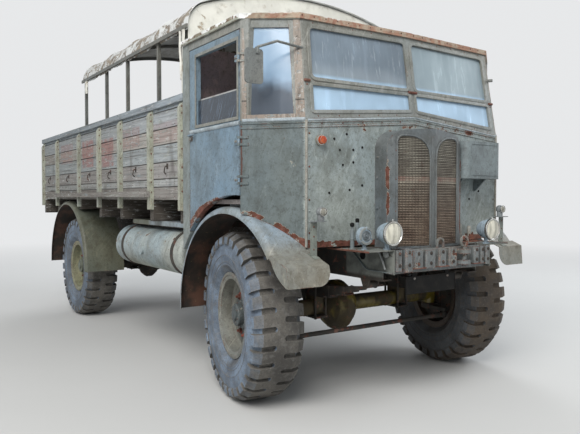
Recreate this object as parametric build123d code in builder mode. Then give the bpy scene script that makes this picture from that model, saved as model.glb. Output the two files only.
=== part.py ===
from build123d import *
import os
from math import atan2, cos, hypot, pi, radians, sin, sqrt

os.makedirs("parts", exist_ok=True)

# Lengths in millimetres: X forward, Y to the truck's left, Z up from the ground
WHEELBASE = 3848
FRONT_AXLE_X = 2140
F = FRONT_AXLE_X
REAR_AXLE_X = F - WHEELBASE
TYRE_R = 575
AXLE_Z = TYRE_R
WHEEL_Y = 970
KINGPIN_Y = 800
STEER_DEG = -10
SEAT_FIT = 0.3
PIN_FIT = 0.05
MOVE_GAP = 6

# Chassis rails
RAIL_Y = 455
RAIL_FLANGE = 80
RAIL_T = 9
FRAME_TOP_Z = 1062
FRAME_LOW_Z = 852
RAIL_REAR_X = -3010
RAIL_FRONT_X = F + 780

# Cab
CAB_HALF_W = 1200
CAB_NOSE_X = F + 608
CORNER_X = F + 586
CORNER_Y = 915
POST_X = F + 266
CAB_REAR_X = F - 608
WALL_T = 22
REAR_WALL_T = 38
DOOR_T = 36
FLOOR_Z = 1376
FLOOR_T = 30
SKIRT_Z = 1075
BELT_Z = 1880
SILL_MID_Z = 1955
ROOF_Z = 2520
SCREEN_TOP_X = F + 488
SCREEN_TOP_Y = 889
SCREEN_MID_X = F + 522

# Load body
BODY_REAR_X = -3030
BODY_FRONT_X = 1528
BOARD_OUT_Y = 1180
BOARD_T = 30
DECK_Z = 1410
DECK_T = 40
BEARER_Z = DECK_Z - DECK_T
RUNNER_TOP_Z = 1190
SIDE_TOP_Z = 2175


def block(x0, x1, y0, y1, z0, z1, mode=Mode.ADD):
    with Locations(((x0 + x1) / 2, (y0 + y1) / 2, (z0 + z1) / 2)):
        Box(abs(x1 - x0), abs(y1 - y0), abs(z1 - z0), mode=mode)


def draw(path):
    # A start point, then (a, b) for a line to it or (m, n, a, b) for an arc through (m, n)
    here = path[0]
    for step in path[1:]:
        if len(step) == 2:
            Line(here, step)
        else:
            ThreePointArc(here, step[:2], step[2:])
        here = step[-2:]
    if here != path[0]:
        Line(here, path[0])


def backwards(path):
    ends = [step[-2:] for step in path]
    back = [ends[-1]]
    for step, target in zip(reversed(path[1:]), reversed(ends[:-1])):
        back.append(target if len(step) == 2 else (step[0], step[1], *target))
    return back


def flip(path, side, first):
    # Mirrors every coordinate from the first index on in steps of two
    return [tuple(v * side if i % 2 == first else v for i, v in enumerate(step)) for step in path]


def face_on(plane, path):
    with BuildSketch(plane) as outline:
        with BuildLine():
            draw(path)
        make_face()
    return outline.sketch


def prism_y(path, y0, y1, mode=Mode.ADD):
    plane = Plane(origin=(0, y0, 0), x_dir=(1, 0, 0), z_dir=(0, -1, 0))
    extrude(face_on(plane, path), amount=y0 - y1, mode=mode)


def prism_x(path, x0, x1, mode=Mode.ADD):
    plane = Plane(origin=(x0, 0, 0), x_dir=(0, 1, 0), z_dir=(1, 0, 0))
    extrude(face_on(plane, path), amount=x1 - x0, mode=mode)


def prism_z(path, z0, z1, mode=Mode.ADD):
    plane = Plane(origin=(0, 0, z0), x_dir=(1, 0, 0), z_dir=(0, 0, 1))
    extrude(face_on(plane, path), amount=z1 - z0, mode=mode)


def rod(p, q, r, mode=Mode.ADD):
    a = Vector(*p)
    b = Vector(*q)
    with BuildSketch(Plane(origin=a, z_dir=(b - a).normalized())) as disc:
        Circle(r)
    extrude(disc.sketch, amount=(b - a).length, mode=mode)


def cyl_y(x, z, r, y0, y1, mode=Mode.ADD):
    rod((x, y0, z), (x, y1, z), r, mode)


def cyl_z(x, y, r, z0, z1, mode=Mode.ADD):
    rod((x, y, z0), (x, y, z1), r, mode)


def spin_y(profile, x, z, arc=360, start=0, mode=Mode.ADD):
    # A profile of (radius, y) points turned about a line along Y through x, z
    plane = Plane(origin=(x, 0, z), x_dir=(1, 0, 0), z_dir=(0, 0, 1))
    whole = revolve(face_on(plane, profile), axis=Axis((x, 0, z), (0, -1, 0)), revolution_arc=arc,
                    mode=Mode.PRIVATE)
    add(Pos(x, 0, z) * Rot(0, start, 0) * Pos(-x, 0, -z) * whole, mode=mode)


def spin_x(profile, y, z, mode=Mode.ADD):
    # A profile of (x, radius) points turned about a line along X through y, z
    plane = Plane(origin=(0, y, z), x_dir=(1, 0, 0), z_dir=(0, 0, 1))
    revolve(face_on(plane, profile), axis=Axis((0, y, z), (1, 0, 0)), revolution_arc=360, mode=mode)


def cap(x0, r, x1):
    # Closing arc of a turned profile, from radius r at x0 to the axis at x1, centred on the axis
    c = (x1 ** 2 - x0 ** 2 - r ** 2) / (2 * (x1 - x0))
    half = (atan2(r, x0 - c) + (0 if x1 > c else pi)) / 2
    return c + abs(x1 - c) * cos(half), abs(x1 - c) * sin(half), x1, 0


def rolled(r, in_y, out_y, roll, t):
    # Profile of an arched sheet whose outer edge rolls over by a quarter turn
    big = roll * sqrt(0.5)
    small = (roll - t) * sqrt(0.5)
    r0 = r - roll
    y0 = out_y - roll
    return [(r, in_y), (r, y0), (r0 + big, y0 + big, r0, out_y), (r0 - t, out_y), (r0 - t, out_y - t),
            (r0, out_y - t), (r0 + small, y0 + small, r - t, y0), (r - t, in_y)]


def ruled(path_low, z0, path_high, z1, mode=Mode.ADD):
    low = face_on(Plane.XY.offset(z0), path_low)
    high = face_on(Plane.XY.offset(z1), path_high)
    loft([low.faces()[0], high.faces()[0]], ruled=True, mode=mode)


# Wheels: one tyre with curved grooves from both shoulders between chunky lugs, one dished rim with hub
TYRE_HALF_W = 170
LUG_DEPTH = 25
LUG_COUNT = 30
GROOVE_W = 40
GROOVE_END_Y = 46
GROOVE_BEND = 16
LUG_STAND = 7
TREAD_HALF_W = 118
RIM_R = 299
RIM_SEAT_R = 264
RIM_HALF_W = 132
FLANGE_T = 8
RIM_T = 12
HUB_R = 99
SPINDLE_R = 32
SPINDLE_OUT = 70
bead_y = RIM_HALF_W - FLANGE_T - SEAT_FIT
groove_r = TYRE_R - LUG_DEPTH
grooves = {}
for groove_side in (1, -1):
    outer_y = TYRE_HALF_W + 40
    middle_y = (GROOVE_END_Y + outer_y) / 2
    half_w = GROOVE_W / 2
    groove_path = [(outer_y, GROOVE_BEND - half_w), (middle_y, GROOVE_BEND / 4 - half_w, GROOVE_END_Y,
                                                     -half_w),
                   (GROOVE_END_Y - half_w, 0, GROOVE_END_Y, half_w),
                   (middle_y, GROOVE_BEND / 4 + half_w, outer_y, GROOVE_BEND + half_w)]
    groove_plane = Plane(origin=(groove_r - 70, 0, 0), x_dir=(0, 1, 0), z_dir=(1, 0, 0))
    with BuildPart() as groove:
        extrude(face_on(groove_plane, flip(groove_path, groove_side, 0)), amount=120)
    grooves[groove_side] = groove.part
with BuildPart() as tyre_shape:
    spin_y(
        [(groove_r - 60, -TYRE_HALF_W), (groove_r - 60, TYRE_HALF_W),
         (groove_r - 50, TYRE_HALF_W + LUG_STAND),
         (groove_r - 6, TYRE_HALF_W), (TYRE_R, TREAD_HALF_W), (TYRE_R, -TREAD_HALF_W),
         (groove_r - 6, -TYRE_HALF_W), (groove_r - 50, -TYRE_HALF_W - LUG_STAND)],
        0, 0)
    for groove_side, shift in ((1, 0.0), (-1, 0.5)):
        add([Rot(0, (lug + shift) * 360 / LUG_COUNT, 0) * grooves[groove_side] for lug in range(LUG_COUNT)],
            mode=Mode.SUBTRACT)
    spin_y(
        [(RIM_SEAT_R + SEAT_FIT, -bead_y + 7), (RIM_SEAT_R + SEAT_FIT, bead_y - 7), (RIM_R + 4, bead_y),
         (RIM_R + 46, TYRE_HALF_W - 12), (420, TYRE_HALF_W), (groove_r - 52, TYRE_HALF_W - 8),
         (groove_r, TREAD_HALF_W),
         (groove_r, -TREAD_HALF_W), (groove_r - 52, -TYRE_HALF_W + 8), (420, -TYRE_HALF_W),
         (RIM_R + 46, -TYRE_HALF_W + 12), (RIM_R + 4, -bead_y)],
        0, 0)

with BuildPart() as rim_shape:
    spin_y(
        [(RIM_R, -RIM_HALF_W), (RIM_R, -RIM_HALF_W + FLANGE_T), (RIM_SEAT_R, -RIM_HALF_W + FLANGE_T + 7),
         (RIM_SEAT_R, RIM_HALF_W - FLANGE_T - 7), (RIM_R, RIM_HALF_W - FLANGE_T), (RIM_R, RIM_HALF_W),
         (RIM_R - 12, RIM_HALF_W + 2), (RIM_SEAT_R - RIM_T, RIM_HALF_W - 8), (RIM_SEAT_R - RIM_T, 44),
         (232, 30),
         (HUB_R - 2, 34), (HUB_R - 2, 20), (228, 16), (240, 28), (RIM_SEAT_R - RIM_T, 28),
         (RIM_SEAT_R - RIM_T, -RIM_HALF_W + 8), (RIM_R - 12, -RIM_HALF_W - 2)],
        0, 0)
    spin_y([(0, -22), (HUB_R, -22), (HUB_R, 19), (HUB_R + 5, 19), (HUB_R + 5, 36), (HUB_R, 36), (HUB_R, 56),
            (HUB_R - 6, 62), (78, 62), (78, 98), (72, 104), (40, 104), (40, 114), (34, 118), (0, 118)], 0, 0)
    cyl_y(0, 0, SPINDLE_R + PIN_FIT, -30, SPINDLE_OUT + MOVE_GAP, mode=Mode.SUBTRACT)

WHEELS = (
    # name, x, side (+1 left), steered
    ("front_left", FRONT_AXLE_X, 1, True),
    ("front_right", FRONT_AXLE_X, -1, True),
    ("rear_left", REAR_AXLE_X, 1, False),
    ("rear_right", REAR_AXLE_X, -1, False),
)


def steered_place(side):
    return Pos(F, side * KINGPIN_Y, 0) * Rot(0, 0, STEER_DEG) * Pos(-F, -side * KINGPIN_Y, 0)


def wheel_place(x, side, steered):
    base = Pos(x, side * WHEEL_Y, AXLE_Z)
    if side < 0:
        base = base * Rot(0, 0, 180)
    if steered:
        base = steered_place(side) * base
    return base


tyres = {}
rims = {}
for name, x, side, steered in WHEELS:
    place = wheel_place(x, side, steered)
    with BuildPart() as tyre:
        add(place * tyre_shape.part)
    with BuildPart() as rim:
        add(place * rim_shape.part)
    tyres[name] = tyre
    rims[name] = rim

# Steering knuckles: a fork round each axle end on a kingpin, with an arm forward to the track rod
BOSS_R = 56
BOSS_HALF_H = 80
KINGPIN_R = 22
FORK_T = 38
FORK_R = 58
WEB_IN_Y = 874
WEB_OUT_Y = 905
ARM_X = 200
ARM_HALF_W = 24
BALL_R = 12
BALL_L = 46
EYE_H = 44
TRACK_ROD_R = 17
fork_low = AXLE_Z - BOSS_HALF_H - MOVE_GAP
fork_high = AXLE_Z + BOSS_HALF_H + MOVE_GAP
arm_low = fork_low - FORK_T
hub_face_y = WHEEL_Y - 22
knuckles = {}
for name, side in (("left", 1), ("right", -1)):
    with BuildPart() as straight:
        for z0, z1 in ((fork_high, fork_high + FORK_T), (arm_low, fork_low)):
            cyl_z(F, side * KINGPIN_Y, FORK_R, z0, z1)
            block(F - FORK_R + 3, F + FORK_R - 3, side * KINGPIN_Y, side * WEB_OUT_Y, z0, z1)
        block(F - FORK_R + 3, F + FORK_R - 3, side * WEB_IN_Y, side * WEB_OUT_Y, arm_low, fork_high + FORK_T)
        cyl_z(F, side * KINGPIN_Y, KINGPIN_R, arm_low - 10, fork_high + FORK_T + 14)
        cyl_z(F, side * KINGPIN_Y, KINGPIN_R + 12, arm_low - 8, arm_low)
        cyl_y(F, AXLE_Z, 88, side * WEB_OUT_Y, side * (hub_face_y - MOVE_GAP))
        cyl_y(F, AXLE_Z, SPINDLE_R, side * (WEB_OUT_Y - 5), side * (WHEEL_Y + SPINDLE_OUT))
        prism_z(flip([(F, KINGPIN_Y - 40), (F + ARM_X - 40, KINGPIN_Y - ARM_HALF_W),
                      (F + ARM_X, KINGPIN_Y - ARM_HALF_W),
                      (F + ARM_X + ARM_HALF_W, KINGPIN_Y, F + ARM_X, KINGPIN_Y + ARM_HALF_W),
                      (F + ARM_X - 40, KINGPIN_Y + ARM_HALF_W),
                      (F, KINGPIN_Y + 40)], side, 1), arm_low, arm_low + 28)
        cyl_z(F + ARM_X, side * KINGPIN_Y, BALL_R, arm_low - BALL_L, arm_low)
    with BuildPart() as knuckle:
        add(steered_place(side) * straight.part)
    knuckles[name] = knuckle

# Track rod between the two steering arms, turned with them
steer = radians(STEER_DEG)
ball_x = F + ARM_X * cos(steer)
ball_dy = ARM_X * sin(steer)
eye_z = arm_low - MOVE_GAP - EYE_H / 2
with BuildPart() as track_rod:
    rod((ball_x, KINGPIN_Y + ball_dy, eye_z), (ball_x, -KINGPIN_Y + ball_dy, eye_z), TRACK_ROD_R)
    for side in (1, -1):
        cyl_z(ball_x, side * KINGPIN_Y + ball_dy, BALL_R + 16, eye_z - EYE_H / 2, eye_z + EYE_H / 2)
        rod((ball_x, side * (KINGPIN_Y - 130) + ball_dy, eye_z),
            (ball_x, side * (KINGPIN_Y - 24) + ball_dy, eye_z),
            TRACK_ROD_R + 6)
    for side in (1, -1):
        cyl_z(ball_x, side * KINGPIN_Y + ball_dy, BALL_R + PIN_FIT, eye_z - EYE_H, eye_z + EYE_H,
              mode=Mode.SUBTRACT)

# Leaf springs: seven leaves as arcs of one centre, rolled eyes, clamped to the axle by U-bolts
SPRING_Y = 415
LEAF_W = 72
LEAF_T = 13
LEAF_COUNT = 7
LEAF_STEP = 0.125
SPRING_CAMBER = 50
SPRING_EYE_R = 26
SPRING_PIN_R = 12
CHEEK_T = 8
SPRING_SEAT_Z = 661
UBOLT_R = 9
UBOLT_X = 72
AXLE_TUBE_R = 60
FRONT_HALF_SPAN = 620
REAR_HALF_SPAN = 640
spring_top = SPRING_SEAT_Z + LEAF_COUNT * LEAF_T
eye_centre_z = spring_top + SPRING_CAMBER - LEAF_T + SPRING_EYE_R
ubolt_y = LEAF_W / 2 + UBOLT_R + 2
saddle_z = AXLE_Z - AXLE_TUBE_R - SEAT_FIT
SPRING_ENDS = (
    # axle x, half span
    (FRONT_AXLE_X, FRONT_HALF_SPAN),
    (REAR_AXLE_X, REAR_HALF_SPAN),
)
with BuildPart() as springs:
    for ax, half_span in SPRING_ENDS:
        bend = (half_span ** 2 + SPRING_CAMBER ** 2) / (2 * SPRING_CAMBER)
        for side in (1, -1):
            y0 = side * SPRING_Y - LEAF_W / 2
            y1 = side * SPRING_Y + LEAF_W / 2
            for leaf in range(LEAF_COUNT):
                reach = half_span * (1 - LEAF_STEP * leaf)
                upper = bend + leaf * LEAF_T
                lower = upper + LEAF_T
                centre_z = spring_top + bend
                up_z = centre_z - sqrt(upper ** 2 - reach ** 2)
                low_z = centre_z - sqrt(lower ** 2 - reach ** 2)
                prism_y([(ax - reach, low_z), (ax, centre_z - lower, ax + reach, low_z), (ax + reach, up_z),
                         (ax, centre_z - upper, ax - reach, up_z)], y0, y1)
            for end in (-1, 1):
                cyl_y(ax + end * half_span, eye_centre_z, SPRING_EYE_R, y0, y1)
                cyl_y(ax + end * half_span, eye_centre_z, SPRING_PIN_R, y0 - CHEEK_T - 8, y1 + CHEEK_T + 8)
                for bolt_side in (-1, 1):
                    cyl_z(ax + end * UBOLT_X, side * SPRING_Y + bolt_side * ubolt_y, UBOLT_R, saddle_z - 20,
                          spring_top + 34)
            block(ax - UBOLT_X - 18, ax + UBOLT_X + 18, y0 - 22, y1 + 22, spring_top, spring_top + 16)
            block(ax - UBOLT_X - 18, ax + UBOLT_X + 18, y0 - 22, y1 + 22, saddle_z - 14, saddle_z)

# Axles: tube with spring pads and a differential offset to the right
DIFF_Y = -215
DIFF_R = 188
DIFF_HALF_W = 125
SNOUT_R = 62
SNOUT_X = 300
DRUM_R = 215


def axle(ax, end_y, snout):
    cyl_y(ax, AXLE_Z, AXLE_TUBE_R, -end_y, end_y)
    for side in (1, -1):
        block(ax - 62, ax + 62, side * SPRING_Y - LEAF_W / 2, side * SPRING_Y + LEAF_W / 2, AXLE_Z,
              SPRING_SEAT_Z)
    spin_y([(0, DIFF_Y - DIFF_HALF_W), (70, DIFF_Y - DIFF_HALF_W), (150, DIFF_Y - 80), (DIFF_R, DIFF_Y - 30),
            (DIFF_R, DIFF_Y + 30), (150, DIFF_Y + 80), (70, DIFF_Y + DIFF_HALF_W),
            (0, DIFF_Y + DIFF_HALF_W)], ax, AXLE_Z)
    spin_x([(ax + snout * 120, 0), (ax + snout * 120, 110), (ax + snout * 200, SNOUT_R + 14),
            (ax + snout * 284, SNOUT_R),
            (ax + snout * 284, SNOUT_R + 14), (ax + snout * SNOUT_X, SNOUT_R + 14),
            (ax + snout * SNOUT_X, 0)],
           DIFF_Y, AXLE_Z)


# Front axle with bored bosses for the kingpins
with BuildPart() as front_axle:
    axle(F, KINGPIN_Y - 20, -1)
    for side in (1, -1):
        cyl_z(F, side * KINGPIN_Y, BOSS_R, AXLE_Z - BOSS_HALF_H, AXLE_Z + BOSS_HALF_H)
    for side in (1, -1):
        cyl_z(F, side * KINGPIN_Y, KINGPIN_R + PIN_FIT, AXLE_Z - BOSS_HALF_H - 5, AXLE_Z + BOSS_HALF_H + 5,
              mode=Mode.SUBTRACT)

# Rear axle with brake drums inside the wheels and stub spindles
with BuildPart() as rear_axle:
    axle(REAR_AXLE_X, hub_face_y - 98, 1)
    for side in (1, -1):
        cyl_y(REAR_AXLE_X, AXLE_Z, DRUM_R, side * (hub_face_y - 98), side * (hub_face_y - 14))
        cyl_y(REAR_AXLE_X, AXLE_Z, SPINDLE_R, side * (hub_face_y - 30), side * (WHEEL_Y + SPINDLE_OUT))

# Engine with its mounting feet, gearbox and transfer box as plain masses
ENGINE_HALF_W = 250
ENGINE_LOW_Z = 905
ENGINE_TOP_Z = 1560
GEARBOX_LOW_Z = 920
TRANSFER_X0 = F - 1500
TRANSFER_X1 = F - 1180
OUTPUT_Z = 838
MAIN_SHAFT_Z = 1030
JOINT_R = 45
SHAFT_R = 36
with BuildPart() as engine:
    block(F - 420, F + 420, -ENGINE_HALF_W, ENGINE_HALF_W, ENGINE_LOW_Z, ENGINE_TOP_Z)
    block(F - 900, F - 420, -190, 190, GEARBOX_LOW_Z, 1180)
    for x in (F - 300, F + 250):
        for side in (1, -1):
            block(x - 40, x + 40, side * (ENGINE_HALF_W - 5), side * (RAIL_Y - 5), FRAME_TOP_Z,
                  FRAME_TOP_Z + 20)
with BuildPart() as transfer_box:
    block(TRANSFER_X0, TRANSFER_X1, -330, 200, 790, 1100)

# Propeller shafts with a universal joint at each end
FRONT_SNOUT_X = F - SNOUT_X - JOINT_R - SEAT_FIT
REAR_SNOUT_X = REAR_AXLE_X + SNOUT_X + JOINT_R + SEAT_FIT
SHAFTS = (
    # joint centres: x, y, z and x, y, z
    ((FRONT_SNOUT_X, DIFF_Y, AXLE_Z), (TRANSFER_X1 + JOINT_R + SEAT_FIT, DIFF_Y, OUTPUT_Z)),
    ((REAR_SNOUT_X, DIFF_Y, AXLE_Z), (TRANSFER_X0 - JOINT_R - SEAT_FIT, DIFF_Y, OUTPUT_Z)),
    ((F - 900 - JOINT_R - SEAT_FIT, 0, MAIN_SHAFT_Z), (TRANSFER_X1 + JOINT_R + SEAT_FIT, 0, MAIN_SHAFT_Z)),
)
shaft_neck = sqrt(JOINT_R ** 2 - SHAFT_R ** 2)
shaft_half = (pi + atan2(SHAFT_R, shaft_neck)) / 2
with BuildPart() as propshafts:
    for p, q in SHAFTS:
        start = Vector(*p)
        run = (Vector(*q) - start).length
        along = (Vector(*q) - start).normalized()
        near = JOINT_R * cos(shaft_half)
        rise = JOINT_R * sin(shaft_half)
        side_on = Plane(origin=start, x_dir=along, z_dir=along.cross(Vector(0, 0, 1)).normalized())
        revolve(face_on(side_on, [(-JOINT_R, 0), (near, rise, shaft_neck, SHAFT_R),
                                  (run - shaft_neck, SHAFT_R),
                                  (run - near, rise, run + JOINT_R, 0)]), axis=Axis(p, tuple(along)),
                                  revolution_arc=360)

# Chassis frame: two channel rails, cross-members, spring hangers and tapered front plates
CROSS_MEMBERS = (
    # x centre, low z, high z, half length
    (-2960, FRAME_LOW_Z + 30, FRAME_TOP_Z - 30, 40),
    (-2300, FRAME_LOW_Z + 30, FRAME_TOP_Z - 30, 40),
    (-1150, FRAME_LOW_Z + 30, FRAME_TOP_Z - 30, 40),
    (-350, FRAME_LOW_Z + 30, FRAME_TOP_Z - 30, 40),
    (TRANSFER_X0 - 40, FRAME_LOW_Z + 40, FRAME_TOP_Z - 30, 40),
    (TRANSFER_X1 + 40, FRAME_LOW_Z + 40, FRAME_LOW_Z + 120, 40),
    (F - 760, FRAME_LOW_Z + 20, GEARBOX_LOW_Z, 40),
    (F + 660, FRAME_LOW_Z + 80, 1046, 40),
)
NOSE_PLATE_T = 10
NOSE_PLATE_X = F + 893
with BuildPart() as frame:
    for side in (1, -1):
        inner = RAIL_Y - RAIL_FLANGE
        prism_x(flip([(RAIL_Y, FRAME_LOW_Z), (RAIL_Y, FRAME_TOP_Z), (inner, FRAME_TOP_Z),
                      (inner, FRAME_TOP_Z - RAIL_T),
                      (RAIL_Y - RAIL_T, FRAME_TOP_Z - RAIL_T), (RAIL_Y - RAIL_T, FRAME_LOW_Z + RAIL_T),
                      (inner, FRAME_LOW_Z + RAIL_T), (inner, FRAME_LOW_Z)], side, 0), RAIL_REAR_X,
                      RAIL_FRONT_X)
        for ax, half_span in SPRING_ENDS:
            for end in (-1, 1):
                hx = ax + end * half_span
                outer = LEAF_W / 2 + 2
                block(hx - 46, hx + 46, side * SPRING_Y - outer - CHEEK_T, side * SPRING_Y + outer + CHEEK_T,
                      FRAME_LOW_Z - 5, FRAME_LOW_Z)
                for cheek in (-1, 1):
                    y0 = side * SPRING_Y + cheek * outer
                    prism_y([(hx - 46, FRAME_LOW_Z), (hx - 24, eye_centre_z - 12),
                             (hx, eye_centre_z - 30, hx + 24, eye_centre_z - 12),
                             (hx + 46, FRAME_LOW_Z)], y0, y0 + cheek * CHEEK_T)
                cyl_y(hx, eye_centre_z, SPRING_PIN_R + PIN_FIT, side * SPRING_Y - 80, side * SPRING_Y + 80,
                      mode=Mode.SUBTRACT)
        # Tapered plate beside each rail's nose, holed and flanged along its top
        prism_y([(F + 470, FRAME_TOP_Z), (F + 640, FRAME_LOW_Z + 66), (NOSE_PLATE_X, FRAME_LOW_Z + 54),
                 (NOSE_PLATE_X, FRAME_TOP_Z)],
                side * RAIL_Y, side * (RAIL_Y + NOSE_PLATE_T))
        cyl_y(F + 600, FRAME_TOP_Z - 55, 22, side * (RAIL_Y - 20), side * (RAIL_Y + 20), mode=Mode.SUBTRACT)
        block(F + 470, NOSE_PLATE_X, side * RAIL_Y, side * (RAIL_Y + 210), FRAME_TOP_Z - 6, FRAME_TOP_Z)
    for x, z0, z1, half in CROSS_MEMBERS:
        block(x - half, x + half, -RAIL_Y + RAIL_T / 2, RAIL_Y - RAIL_T / 2, z0, z1)


def inset(points, t):
    # A half plan from the centreline outward, moved inward by t
    lines = []
    for (x0, y0), (x1, y1) in zip(points, points[1:]):
        length = hypot(x1 - x0, y1 - y0)
        lines.append((x0 - (y1 - y0) / length * t, y0 + (x1 - x0) / length * t, x1 - x0, y1 - y0))
    x, y, u, v = lines[0]
    moved = [(x - u * y / v, 0)]
    for (ax, ay, au, av), (bx, by, bu, bv) in zip(lines, lines[1:]):
        s = ((bx - ax) * bv - (by - ay) * bu) / (au * bv - av * bu)
        moved.append((ax + s * au, ay + s * av))
    x, y, u, v = lines[-1]
    moved.append((x + u, y + v))
    return moved


def line_x(p, q, y):
    return p[0] + (q[0] - p[0]) * (y - p[1]) / (q[1] - p[1])


def line_y(p, q, x):
    return p[1] + (q[1] - p[1]) * (x - p[0]) / (q[0] - p[0])


CAB_PLAN = ((CAB_NOSE_X, 0), (CORNER_X, CORNER_Y), (POST_X, CAB_HALF_W), (CAB_REAR_X, CAB_HALF_W))


def panel_x(y, t=0):
    nose, corner = inset(CAB_PLAN, t)[:2]
    return line_x(nose, corner, abs(y))


def corner_y(x, t=0):
    corner, post = inset(CAB_PLAN, t)[1:3]
    return line_y(corner, post, x)


# Front mudguards: a domed arch with a squared nose in front, hung from the cab floor
GUARD_X = F + 20
GUARD_Z = 585
GUARD_R = 745
GUARD_T = 4
GUARD_IN_Y = 880
GUARD_OUT_Y = 1192
GUARD_ROLL = 44
GUARD_STEP = 12
NOSE_TOP = (F + 606, 1045)
NOSE_BEND = (F + 772, 982)
NOSE_CORNER_R = 90
NOSE_WEB_L = 30
FRONT_GUARDS = (
    # side, inner y, outer y, x of the nose's bend, x and z of its tip
    (1, 835, 1112, F + 692, F + 704, 868),
    (-1, GUARD_IN_Y, GUARD_OUT_Y, NOSE_BEND[0], F + 803, 864),
)


def nose_z(x):
    return line_y(NOSE_TOP, NOSE_BEND, x)


with BuildPart() as front_mudguards:
    for side, in_y, out_y, bend_x, tip_x, tip_z in FRONT_GUARDS:
        spin_y(flip(rolled(GUARD_R, in_y, out_y, GUARD_ROLL, GUARD_T), side, 1), GUARD_X, GUARD_Z, arc=146,
               start=-38)
        bend_z = nose_z(bend_x)
        web_x = tip_x - NOSE_WEB_L
        with BuildPart(mode=Mode.PRIVATE) as nose:
            prism_y([(F + 604, NOSE_TOP[1] - GUARD_T), NOSE_TOP, (bend_x, bend_z), (tip_x, tip_z),
                     (tip_x - GUARD_T, tip_z),
                     (bend_x - GUARD_T + 1, bend_z - GUARD_T)], side * in_y, side * (out_y - GUARD_STEP))
            prism_x(flip([(in_y - 1, tip_z - 1), (in_y + NOSE_CORNER_R, tip_z - 1),
                          (in_y + NOSE_CORNER_R * 0.3, tip_z + NOSE_CORNER_R * 0.3, in_y - 1,
                           tip_z + NOSE_CORNER_R)],
                         side, 0), F + 600, F + 900, mode=Mode.SUBTRACT)
        add(nose.part)
        prism_y([(F + 578, 1034), NOSE_TOP, (bend_x, bend_z), (tip_x, tip_z), (web_x, tip_z),
                 ((F + 612 + web_x) / 2 - 14, (1000 + tip_z) / 2 - 10, F + 612, 1000)],
                side * (out_y - GUARD_STEP), side * out_y)
        with BuildPart(mode=Mode.PRIVATE) as stay:
            block(F - 60, F + 100, side * 900, side * 1100, GUARD_Z + 600, FLOOR_Z - FLOOR_T)
            cyl_y(GUARD_X, GUARD_Z, GUARD_R - 1, side * 850, side * 1150, mode=Mode.SUBTRACT)
        add(stay.part)

# Rear mudguards: half-round arches over the rear wheels, hung from the deck
REAR_GUARD_R = 768
REAR_GUARD_Z = 580
REAR_GUARD_IN_Y = 800
REAR_GUARD_OUT_Y = 1232
REAR_GUARD_ROLL = 34
with BuildPart() as rear_mudguards:
    for side in (1, -1):
        spin_y(flip(rolled(REAR_GUARD_R, REAR_GUARD_IN_Y, REAR_GUARD_OUT_Y, REAR_GUARD_ROLL, GUARD_T), side,
                    1),
               REAR_AXLE_X, REAR_GUARD_Z, arc=180)
        with BuildPart(mode=Mode.PRIVATE) as stay:
            block(REAR_AXLE_X - 80, REAR_AXLE_X + 80, side * 850, side * 1000, REAR_GUARD_Z + 600, BEARER_Z)
            cyl_y(REAR_AXLE_X, REAR_GUARD_Z, REAR_GUARD_R - 1, side * 820, side * 1030, mode=Mode.SUBTRACT)
        add(stay.part)

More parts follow.
